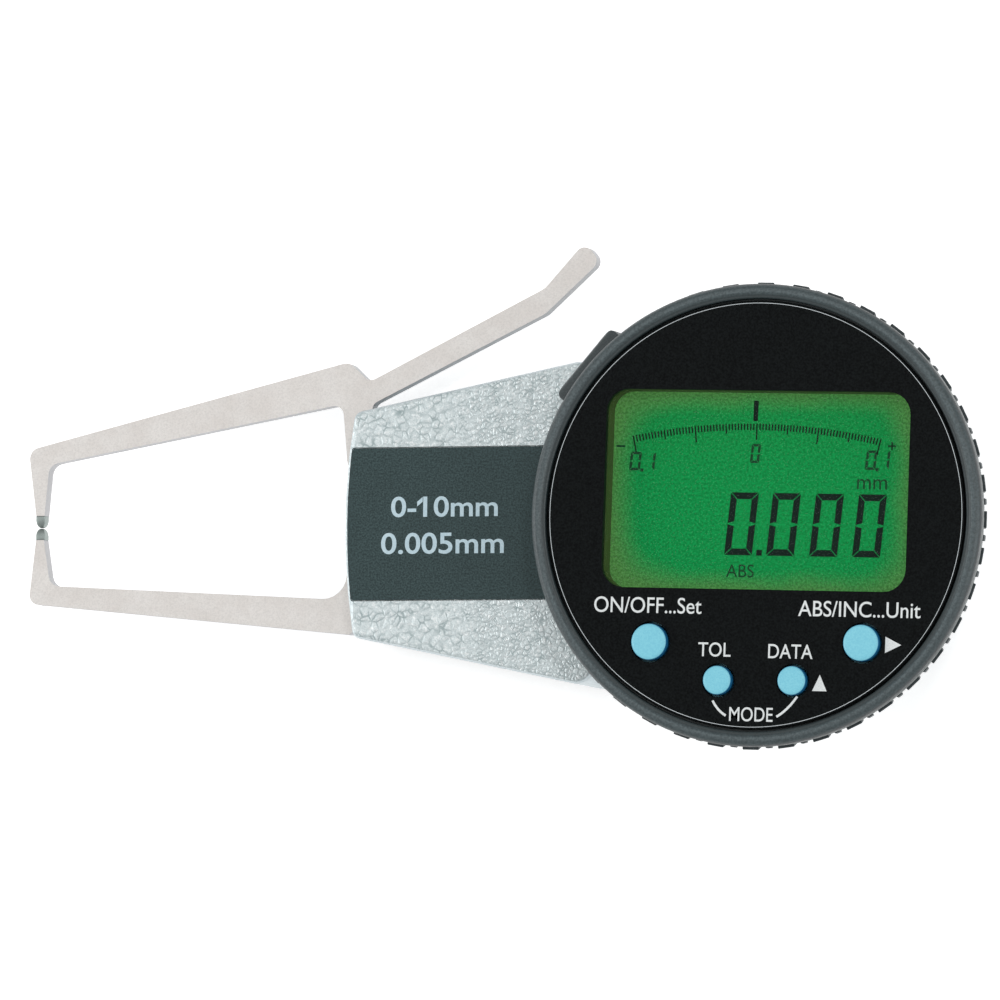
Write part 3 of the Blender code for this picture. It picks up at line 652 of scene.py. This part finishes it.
capital = letters("H", 0.0, 0.01)
CAPITAL_HEIGHT = span(capital, 1)[1]
bpy.data.objects.remove(capital, do_unlink=True)


def print_words(name, words, box, height, finish, body, slot, weight=0.0, turn=0.0, thick=0.012):
    """Prints words with box = (left, baseline, right, top of the capitals) in millimetres."""
    rise = (box[3] - box[1]) * MM / CAPITAL_HEIGHT
    piece = letters(words, weight / rise, thick)
    low, high = span(piece, 0)
    spread = (box[2] - box[0]) * MM / (high - low)
    piece.name = name
    piece.data.name = name
    piece.scale = (spread, rise, 1.0)
    piece.location = (box[0] * MM - low * spread, box[1] * MM, (height + thick / 2.0) * MM)
    settle(piece)
    piece.rotation_euler = (0.0, 0.0, turn)
    settle(piece)
    return dress(piece, finish, body, slot)


# %% Label plate and its print
label = soften(copy_of("label_plate"), 0.05, 2)
dress(label, PALETTE["label"], "housing", "label", "label_plate")
LABEL_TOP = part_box("label_plate")[1].z / MM
LABEL_LINES = {
    "label_range": ("0-10mm", (-51.6, 0.95, -37.08, 3.5)),
    "label_step": ("0.005mm", (-52.92, -3.88, -36.22, -1.25)),
}
for name, (words, box) in LABEL_LINES.items():
    print_words(name, words, box, LABEL_TOP, PALETTE["label_print"], "housing", "label", 0.05)
FLAG_LEFT, FLAG_RIGHT, FLAG_TOP = -48.05, -47.3, 3.5
FLAG_DEEP = 0.62
flag = block(
    "label_figure_flag", (FLAG_LEFT, FLAG_TOP - FLAG_DEEP, LABEL_TOP),
    (FLAG_RIGHT, FLAG_TOP, LABEL_TOP + 0.012))
bpy.ops.object.mode_set(mode="EDIT")
pick(flag, lambda at, normal: normal.x < -0.9)
bpy.ops.transform.translate(value=(0.0, -FLAG_DEEP * MM, 0.0))
bpy.ops.object.mode_set(mode="OBJECT")
dress(flag, PALETTE["label_print"], "housing", "label")

# %% [markdown]
# ## The arms
# Blanked steel has a small broken edge all round, which shows as a fine line of
# light. A narrow Bevel gives it.

# %% Arms
for node, body in (("fixed_arm", "housing"), ("moving_arm", "measuring_arm")):
    arm = soften(copy_of(node), 0.1, 2, 40.0)
    dress(arm, PALETTE["arm_steel"], body, "arm_steel", node)

# %% [markdown]
# ## Carbide tips
# Each tip is a small insert brazed to the end of its arm. It is as wide as the arm
# there and narrows to a rounded nose, and the two noses meet when the gauge is
# closed. A block is extruded in three steps, and each step is drawn in.

# %% Tips
TIP_REACH = 1.57
TIP_ROOT_LENGTH = 0.6


def carbide_tip(name, node, body):
    """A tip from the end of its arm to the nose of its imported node."""
    low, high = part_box(node)
    middle = (low + high) / 2.0
    size = high - low
    above = 1.0 if node == "moving_arm_tip" else -1.0
    nose = low.y if above > 0 else high.y
    root = nose + above * TIP_REACH * MM
    bpy.ops.object.select_all(action="DESELECT")
    start = (middle.x, root - above * TIP_ROOT_LENGTH / 2.0 * MM, middle.z)
    bpy.ops.mesh.primitive_cube_add(size=1.0, location=start)
    tip = fresh(name)
    tip.scale = (size.x, TIP_ROOT_LENGTH * MM, size.z)
    settle(tip)
    bpy.ops.object.mode_set(mode="EDIT")
    reach = abs(root - nose) - TIP_ROOT_LENGTH * MM
    for share, narrow in ((0.45, 0.9), (0.35, 0.78), (0.2, 0.6)):
        pick(tip, lambda at, normal: normal.y * above < -0.9)
        bpy.ops.mesh.extrude_region_move(
            TRANSFORM_OT_translate={"value": (0.0, -above * reach * share, 0.0)})
        bpy.ops.transform.resize(value=(narrow, 1.0, narrow))
    bpy.ops.mesh.select_all(action="SELECT")
    bpy.ops.mesh.normals_make_consistent(inside=False)
    bpy.ops.object.mode_set(mode="OBJECT")
    soften(tip, 0.12, 3, 12.0)
    return dress(tip, PALETTE["carbide"], body, "carbide", node)


carbide_tip("fixed_tip", "fixed_arm_tip", "housing")
carbide_tip("moving_tip", "moving_arm_tip", "measuring_arm")

# %% [markdown]
# ## Turning a ring
# The bezel, like anything made on a lathe, is one half section spun about the
# axis. The section starts as a single point, which is extruded along the section
# step by step, and the Spin operator then sweeps it through a full turn.

# %% A helper that turns a section
def turned(name, section, steps):
    """Spins a closed section of (radius, height) points about the middle axis."""
    bpy.ops.object.select_all(action="DESELECT")
    first = section[0]
    bpy.ops.mesh.primitive_plane_add(size=0.1 * MM, location=(first[0] * MM, 0.0, first[1] * MM))
    piece = settle(fresh(name))
    bpy.ops.object.mode_set(mode="EDIT")
    bpy.ops.mesh.select_mode(type="VERT")
    bpy.ops.mesh.select_all(action="SELECT")
    bpy.ops.mesh.merge(type="CENTER")
    for here, there in zip(section, section[1:] + section[:1]):
        step = ((there[0] - here[0]) * MM, 0.0, (there[1] - here[1]) * MM)
        bpy.ops.mesh.extrude_vertices_move(TRANSFORM_OT_translate={"value": step})
    bpy.ops.mesh.select_all(action="SELECT")
    bpy.ops.mesh.remove_doubles(threshold=0.001 * MM)
    bpy.ops.mesh.select_all(action="SELECT")
    bpy.ops.mesh.spin(steps=steps, angle=2.0 * math.pi, center=(0.0, 0.0, 0.0), axis=(0.0, 0.0, 1.0))
    bpy.ops.mesh.select_all(action="SELECT")
    bpy.ops.mesh.remove_doubles(threshold=0.001 * MM)
    bpy.ops.mesh.normals_make_consistent(inside=False)
    bpy.ops.object.mode_set(mode="OBJECT")
    return piece


def curve_points(centre, radius, start, end, count):
    """Points on an arc of a section, with angles in degrees."""
    angles = [math.radians(start + (end - start) * i / count) for i in range(count + 1)]
    return [(centre[0] + radius * math.cos(a), centre[1] + radius * math.sin(a)) for a in angles]


# %% [markdown]
# ## The bezel
# The ring has a rounded outer shoulder, a broad band that falls outwards, a soft
# ridge, and a narrower band that falls inwards to a thin lip around the panel.

# %% Bezel ring
BEZEL_SECTION = [(26.2, 24.6), (29.2, 24.6), (29.32, 24.72)]
BEZEL_SECTION += curve_points((28.83, 25.55), 0.95, -12.0, 76.0, 10)
BEZEL_SECTION += curve_points((28.72, 26.24), 0.22, 70.0, 140.0, 4)
BEZEL_SECTION += [(28.36, 26.2), (28.1, 26.12), (27.96, 26.18), (27.88, 26.12), (27.84, 25.98)]
BEZEL_SECTION += [(27.84, 24.85), (26.2, 24.85)]
bezel = turned("bezel", BEZEL_SECTION, 180)
bezel.rotation_euler = (0.0, 0.0, HEAD_TURN)
smooth(settle(bezel), 50.0)
dress(bezel, PALETTE["bezel_plastic"], "display_head", "bezel_plastic", "bezel_ring")

# %% [markdown]
# ## The grip ring
# A hand turns the head by this ring. It has forty wide lands with one thin rib in each gap between them, all
# standing below a flange. One land is a block whose lower face is moved inwards, which gives the slope a
# moulding needs. Spin with its copies option repeats it round the ring, and the flange is turned.

# %% Lands and ribs
GRIP_LOW, GRIP_HIGH = (corner.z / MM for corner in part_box("grip_ring"))
GRIP_LANDS = 40
LAND_PITCH = 2.0 * math.pi / GRIP_LANDS


LAND_DRAFT = 0.5
land = block("grip_land", (28.95, -1.08, GRIP_LOW + 0.1), (30.1, 1.08, GRIP_HIGH - 0.06))
bpy.ops.object.mode_set(mode="EDIT")
pick(land, lambda at, normal: normal.z < -0.9)
bpy.ops.transform.translate(value=(-LAND_DRAFT * MM, 0.0, 0.0))
bpy.ops.object.mode_set(mode="OBJECT")
soften(land, 0.1, 2)
rib = block("grip_rib", (28.95, -0.4, GRIP_LOW + 0.9), (29.88, 0.4, GRIP_HIGH - 0.06))
soften(rib, 0.12, 2)
rib.rotation_euler = (0.0, 0.0, LAND_PITCH / 2.0)
settle(rib)
grip = join(land, rib)
bpy.ops.object.mode_set(mode="EDIT")
bpy.ops.mesh.select_all(action="SELECT")
bpy.ops.mesh.spin(
    steps=GRIP_LANDS, dupli=True, angle=2.0 * math.pi, center=(0.0, 0.0, 0.0), axis=(0.0, 0.0, 1.0))
bpy.ops.mesh.select_all(action="SELECT")
bpy.ops.mesh.remove_doubles(threshold=0.001 * MM)
bpy.ops.object.mode_set(mode="OBJECT")
grip.name = "grip"
grip.rotation_euler = (0.0, 0.0, HEAD_TURN)
smooth(settle(grip))
dress(grip, PALETTE["case_plastic"], "display_head", "case_plastic", "grip_ring")

# %% The flange above the lands
FLANGE_RADIUS = 29.72
flange_section = [
    (28.9, GRIP_LOW), (29.2, GRIP_LOW), (29.34, GRIP_LOW + 0.14), (29.34, GRIP_HIGH - 0.32),
    (FLANGE_RADIUS, GRIP_HIGH - 0.24), (FLANGE_RADIUS, GRIP_HIGH - 0.05),
    (FLANGE_RADIUS - 0.05, GRIP_HIGH), (28.9, GRIP_HIGH),
]
flange = turned("grip_flange", flange_section, 120)
flange.rotation_euler = (0.0, 0.0, HEAD_TURN)
smooth(settle(flange))
dress(flange, PALETTE["grip_plastic"], "display_head", "case_plastic")

# %% [markdown]
# ## Case, port cover and face panel
# The case under the bezel and the cover over the data port are mouldings. The panel is thin black acrylic,
# and a thin pale metal ring near its rim is a painted highlight that shows as a bright hairline inside the
# bezel.

# %% Case and port cover
case = soften(copy_of("head_case"), 0.2, 3)
dress(case, PALETTE["case_plastic"], "display_head", "case_plastic", "head_case")
port = soften(copy_of("port_cover"), 0.18, 3)
dress(port, PALETTE["case_plastic"], "port_plug", "case_plastic", "port_cover")

# %% Face panel
panel = soften(copy_of("face_panel"), 0.05, 2, 30.0)
dress(panel, PALETTE["panel"], "display_head", "panel", "face_panel")
# Painted highlight: a pale metal ring on the black panel's rim.
rim_section = [(27.2, 25.98), (27.22, 26.03), (27.29, 26.03), (27.31, 25.98)]
rim = turned("panel_rim", rim_section, 180)
rim.rotation_euler = (0.0, 0.0, HEAD_TURN)
smooth(settle(rim))
dress(rim, PALETTE["painted_highlight_edge"], "display_head", "panel")

# %% [markdown]
# ## The window and the light guide around it
# The clear window sits in the panel. Below it an olive light guide walls the
# opening down to the display, which is why the display looks sunken.

# %% Window
window = soften(copy_of("display_window"), 0.08, 2)
dress(window, PALETTE["clear_window"], "display_head", "clear_window", "display_window")


def rounded_frame(name, low, high, corner, wall, bottom, top):
    """A rounded rectangular tube, modelled as a plate that is bevelled, inset and extruded."""
    bpy.ops.object.select_all(action="DESELECT")
    middle = (low + high) / 2.0
    bpy.ops.mesh.primitive_plane_add(size=1.0, location=(middle.x * MM, middle.y * MM, bottom * MM))
    piece = fresh(name)
    piece.scale = ((high.x - low.x) * MM, (high.y - low.y) * MM, 1.0)
    settle(piece)
    bpy.ops.object.mode_set(mode="EDIT")
    bpy.ops.mesh.select_all(action="SELECT")
    bpy.ops.mesh.bevel(offset=corner * MM, segments=10, affect="VERTICES")
    bpy.ops.mesh.select_all(action="SELECT")
    bpy.ops.mesh.inset(thickness=wall * MM)
    bpy.ops.mesh.delete(type="FACE")
    bpy.ops.mesh.select_all(action="SELECT")
    bpy.ops.mesh.extrude_region_move(TRANSFORM_OT_translate={"value": (0.0, 0.0, (top - bottom) * MM)})
    bpy.ops.mesh.select_all(action="SELECT")
    bpy.ops.mesh.normals_make_consistent(inside=False)
    bpy.ops.object.mode_set(mode="OBJECT")
    piece.rotation_euler = (0.0, 0.0, HEAD_TURN)
    return settle(piece)


spread = Vector((0.3, 0.3))
guide = rounded_frame("light_guide_wall", WINDOW_LOW - spread, WINDOW_HIGH + spread, 3.0, 0.34, 22.22, 25.04)
smooth(guide)
dress(guide, PALETTE["light_plastic"], "display_head", "light_plastic")

# %% [markdown]
# ## What the display shows
# The segments are dark shapes that lie on the glass, a hair thick. A seven-part digit is drawn once from
# mitred four-cornered bars, leaned over and reused. The scale is a bowed row of ticks with longer ones at
# each quarter.

# %% Display strokes
GLASS_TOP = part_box("lcd_glass")[1].z / MM
STROKE_THICK = 0.02


def strokes(name, outlines, height, thick=STROKE_THICK):
    """Thin raised shapes from outlines in millimetres, as one piece in the head's frame."""
    bars = []
    for outline in outlines:
        bpy.ops.object.select_all(action="DESELECT")
        bpy.ops.mesh.primitive_circle_add(
            vertices=len(outline), radius=MM, fill_type="NGON", location=(0.0, 0.0, 0.0))
        bar = fresh(name)
        for vert, (x, y) in zip(bar.data.vertices, outline):
            vert.co = (x * MM, y * MM, height * MM)
        bars.append(bar)
    piece = join(bars[0], *bars[1:])
    bpy.ops.object.mode_set(mode="EDIT")
    bpy.ops.mesh.select_all(action="SELECT")
    bpy.ops.mesh.extrude_region_move(TRANSFORM_OT_translate={"value": (0.0, 0.0, thick * MM)})
    bpy.ops.mesh.select_all(action="SELECT")
    bpy.ops.mesh.normals_make_consistent(inside=False)
    bpy.ops.object.mode_set(mode="OBJECT")
    piece.rotation_euler = (0.0, 0.0, HEAD_TURN)
    return settle(piece)


def bar_between(start, end, width, point=0.5):
    """A six-cornered bar from start to end; point sets how far its ends are drawn out."""
    start, end = Vector(start), Vector(end)
    along = (end - start).normalized()
    across = Vector((-along.y, along.x)) * width / 2.0
    draw = along * width * point
    near, far = start + draw, end - draw
    corners = [start, near - across, far - across, end, far + across, near + across]
    return [tuple(corner) for corner in corners]


# Each bar runs between two outer corners of the figure and widens inwards.
DIGIT_BARS = {
    "top": ((0.0, 1.0), (1.0, 1.0), (0.0, -1.0)),
    "bottom": ((0.0, 0.0), (1.0, 0.0), (0.0, 1.0)),
    "left_low": ((0.0, 0.0), (0.0, 0.5), (1.0, 0.0)),
    "left_high": ((0.0, 0.5), (0.0, 1.0), (1.0, 0.0)),
    "right_low": ((1.0, 0.0), (1.0, 0.5), (-1.0, 0.0)),
    "right_high": ((1.0, 0.5), (1.0, 1.0), (-1.0, 0.0)),
}
LIT_BARS = {"0": list(DIGIT_BARS), "1": ["right_low", "right_high"]}
WAIST_MITRE = 0.28


def digit(figure, box, width, lean, gap):
    """The mitred bars of one figure in box = (left, bottom, right, top), leaned over."""
    left, bottom, right, top = box
    tall = top - bottom
    wide = right - left - lean * tall
    outlines = []
    for bar in LIT_BARS[figure]:
        start, end, inward = DIGIT_BARS[bar]
        corners = [Vector((x * wide, y * tall)) for x, y in (start, end)]
        along = (corners[1] - corners[0]).normalized()
        mitres = [WAIST_MITRE if y == 0.5 else 1.0 for x, y in (start, end)]
        deep = Vector(inward) * width
        outline = [
            corners[0] + along * gap,
            corners[1] - along * gap,
            corners[1] - along * (gap + width * mitres[1]) + deep,
            corners[0] + along * (gap + width * mitres[0]) + deep,
        ]
        outlines.append([(left + at.x + lean * at.y, bottom + at.y) for at in outline])
    return outlines


# %% The reading
READING_BOTTOM, READING_TOP = -5.0, 3.1
READING_LEFTS = (-4.87, 0.7, 6.4, 12.07)
reading = []
for left in READING_LEFTS:
    reading += digit("0", (left, READING_BOTTOM, left + 4.38, READING_TOP), 0.86, 0.085, 0.07)
reading.append([(-0.62, -5.02), (0.13, -5.02), (0.16, -4.26), (-0.59, -4.26)])
dress(strokes("reading", reading, GLASS_TOP), PALETTE["segment"], "display_head", "lcd")

# %% The scale and its figures
SCALE_LEFT, SCALE_RIGHT = -17.5, 15.4
SCALE_TICKS = 80
SCALE_MIDDLE_TOP = 12.0
SCALE_DROP = 1.75
pointer = [bar_between((-1.26, 12.3), (-1.22, 15.0), 0.62, 0.12)]
dress(strokes("pointer", pointer, GLASS_TOP), PALETTE["segment"], "display_head", "lcd")
ticks = []
for i in range(SCALE_TICKS + 1):
    share = i / SCALE_TICKS
    bow = (2.0 * share - 1.0) ** 2
    x = SCALE_LEFT + share * (SCALE_RIGHT - SCALE_LEFT)
    y = SCALE_MIDDLE_TOP - bow * SCALE_DROP
    lean = (0.5 - share) * 0.45
    length = 2.1 if i % 20 == 0 else 1.25 if i % 10 == 0 else 0.85
    ticks.append(bar_between((x, y), (x + lean * length, y - length), 0.19, 0.0))
dress(strokes("scale", ticks, GLASS_TOP), PALETTE["segment"], "display_head", "lcd")
figures = digit("0", (-17.92, 5.75, -16.25, 8.15), 0.34, 0.085, 0.05)
figures += digit("1", (-16.1, 5.75, -14.35, 8.15), 0.34, 0.085, 0.05)
figures += digit("0", (-1.85, 6.91, -0.42, 9.38), 0.34, 0.085, 0.05)
figures += digit("0", (13.4, 6.25, 15.0, 8.75), 0.34, 0.085, 0.05)
figures += digit("1", (15.1, 6.35, 16.75, 8.85), 0.34, 0.085, 0.05)
for x, y in ((-16.4, 5.6), (14.8, 6.1)):
    figures.append([(x, y), (x + 0.42, y), (x + 0.44, y + 0.4), (x + 0.02, y + 0.4)])
figures.append(bar_between((-19.7, 8.85), (-18.5, 8.85), 0.26, 0.0))
figures.append(bar_between((16.35, 9.35), (17.45, 9.35), 0.24, 0.0))
figures.append(bar_between((16.9, 8.8), (16.9, 9.9), 0.24, 0.0))
dress(strokes("scale_figures", figures, GLASS_TOP), PALETTE["faint_segment"], "display_head", "lcd")
DISPLAY_WORDS = {
    "display_unit": ("mm", (12.45, 3.75, 16.4, 5.72)),
    "display_mode": ("ABS", (-4.51, -7.84, -0.84, -6.2)),
}
for name, (words, box) in DISPLAY_WORDS.items():
    print_words(
        name, words, box, GLASS_TOP, PALETTE["faint_segment"], "display_head", "lcd", 0.0, HEAD_TURN,
        STROKE_THICK)

# %% [markdown]
# ## Legends and marks on the panel
# The key names are plain function words. Two small arrows and the strokes that
# join the lower keys to their shared name are raised print as well.

# %% Panel legends
PANEL_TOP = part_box("face_panel")[1].z / MM
PANEL_WORDS = {
    "legend_power": ("ON/OFF...Set", (-20.91, -12.85, -6.61, -10.88)),
    "legend_origin": ("ABS/INC...Unit", (6.17, -12.87, 22.25, -10.92)),
    "legend_limits": ("TOL", (-6.88, -18.28, -2.57, -16.52)),
    "legend_data": ("DATA", (2.39, -18.35, 8.26, -16.56)),
    "legend_mode": ("MODE", (-2.49, -26.5, 3.26, -24.74)),
}
for name, (words, box) in PANEL_WORDS.items():
    print_words(
        name, words, box, PANEL_TOP, PALETTE["panel_print"], "display_head", "panel", 0.012, HEAD_TURN)

# %% Arrows and joining strokes
marks = [
    [(17.75, -17.4), (19.85, -16.35), (17.75, -15.31)],
    [(8.33, -22.45), (10.25, -22.45), (9.3, -20.36)],
]


def arc_stroke(start, middle, end, width):
    """A bowed stroke from start to end that bends towards middle, as one closed outline."""
    start, middle, end = Vector(start), Vector(middle), Vector(end)
    places = []
    for i in range(7):
        share = i / 6.0
        places.append(start * (1 - share) ** 2 + 2 * share * (1 - share) * middle + end * share ** 2)
    left, right = [], []
    for i, place in enumerate(places):
        along = (places[min(i + 1, 6)] - places[max(i - 1, 0)]).normalized()
        across = Vector((-along.y, along.x)) * width / 2.0
        left.append(tuple(place + across))
        right.append(tuple(place - across))
    return left[::-1] + right


marks.append(arc_stroke((-4.75, -23.95), (-4.1, -25.2), (-2.95, -25.85), 0.3))
marks.append(arc_stroke((3.75, -25.85), (5.2, -25.0), (6.4, -23.2), 0.3))
dress(strokes("panel_marks", marks, PANEL_TOP, 0.012), PALETTE["panel_print"], "display_head", "panel")

# %% [markdown]
# ## The keys
# Each key is a moulded cap. A cylinder gets a bevelled top rim and a shallow dome,
# and a wider flange stays below the panel and keeps it from falling out.

# %% Button caps
def button_cap(node):
    low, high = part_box(node)
    middle = (low + high) / 2.0
    flange = (high.x - low.x) / 2.0
    radius = flange - 0.4 * MM
    bpy.ops.object.select_all(action="DESELECT")
    bpy.ops.mesh.primitive_cylinder_add(
        vertices=56, radius=flange, depth=0.85 * MM, location=(middle.x, middle.y, low.z + 0.425 * MM))
    cap = settle(fresh(node + "_cap"))
    bpy.ops.object.mode_set(mode="EDIT")
    pick(cap, lambda at, normal: normal.z > 0.9)
    bpy.ops.mesh.inset(thickness=flange - radius)
    rise = high.z - low.z - 0.85 * MM
    bpy.ops.mesh.extrude_region_move(TRANSFORM_OT_translate={"value": (0.0, 0.0, rise - 0.3 * MM)})
    for inset, lift in ((0.06, 0.13), (0.10, 0.10), (0.28, 0.05), (0.6, 0.015), (0.5, 0.005)):
        bpy.ops.mesh.inset(thickness=inset * MM)
        bpy.ops.transform.translate(value=(0.0, 0.0, lift * MM))
    bpy.ops.object.mode_set(mode="OBJECT")
    smooth(cap, 45.0)
    return dress(cap, PALETTE["button_blue"], node, "button_blue", node)


for node in ("button_on_off", "button_abs_unit", "button_tol", "button_data"):
    button_cap(node)

# %% [markdown]
# ## Floor, light and camera
# The gauge lies on a plain pale floor. A small key lamp to the upper right gives
# the shape, and large soft lamps above and at both sides fill the rest. The camera
# stands high above and to the right, with a long lens, so lines stay near parallel.

# %% Floor
def floor_finish():
    white = (1.0, 1.0, 1.0)
    paper = Finish("pale_floor", Specular_IOR_Level=0.0, Emission_Color=white, Emission_Strength=0.45)
    tooth = paper.noise(0.8, 4.0, 0.6)
    paper.set("Base Color", paper.blend(tooth, (0.955, 0.955, 0.955), (0.985, 0.985, 0.985)))
    paper.set("Roughness", 0.85 + 0.1 * tooth)
    return paper.material


bpy.ops.object.select_all(action="DESELECT")
bpy.ops.mesh.primitive_plane_add(size=6.0, location=(0.0, 0.0, -0.0005))
floor = settle(fresh("floor"))
floor.data.materials.append(floor_finish())

# %% Lamps
def soft_lamp(name, place, aim, size, power):
    bpy.ops.object.select_all(action="DESELECT")
    bpy.ops.object.light_add(type="AREA", location=place)
    lamp = bpy.context.object
    lamp.name = name
    lamp.data.shape = "DISK"
    lamp.data.size = size
    lamp.data.energy = power
    direction = Vector(aim) - Vector(place)
    lamp.rotation_euler = direction.to_track_quat("-Z", "Y").to_euler()
    return lamp


soft_lamp("key_lamp", (0.42, 0.30, 1.12), (-0.03, 0.0, 0.0), 0.12, 1.8)
soft_lamp("left_lamp", (-0.95, 0.0, 0.55), (-0.03, 0.0, 0.0), 0.7, 3.6)
soft_lamp("right_lamp", (0.95, -0.1, 0.55), (-0.03, 0.0, 0.0), 0.7, 2.6)
soft_lamp("overhead_lamp", (-0.25, 0.25, 1.2), (-0.03, 0.0, 0.0), 0.9, 1.4)
world = bpy.data.worlds.new("studio_air")
bpy.context.scene.world = world
world.use_nodes = True
world.node_tree.nodes["Background"].inputs["Color"].default_value = (1.0, 1.0, 1.0, 1.0)
world.node_tree.nodes["Background"].inputs["Strength"].default_value = 0.5

# %% Camera
CAMERA_PLACE = Vector((0.2898, -0.0826, 1.1574))
CAMERA_AIM = Vector((-0.03797, 0.0033, 0.012))
CAMERA_ROLL = math.radians(-0.57)
bpy.ops.object.select_all(action="DESELECT")
bpy.ops.object.camera_add(location=CAMERA_PLACE)
camera = bpy.context.object
camera.name = "camera"
camera.data.sensor_width = 36.0
camera.data.lens = 328.7
camera.data.clip_start = 0.05
camera.data.clip_end = 20.0
ahead = (CAMERA_AIM - CAMERA_PLACE).normalized()
up_hint = Vector((math.sin(CAMERA_ROLL), math.cos(CAMERA_ROLL), 0.0))
right = ahead.cross(up_hint).normalized()
upward = right.cross(ahead)
turn = Matrix((right, upward, -ahead)).transposed()
camera.rotation_euler = turn.to_euler()
bpy.context.scene.camera = camera
bpy.context.scene.view_settings.view_transform = "Standard"
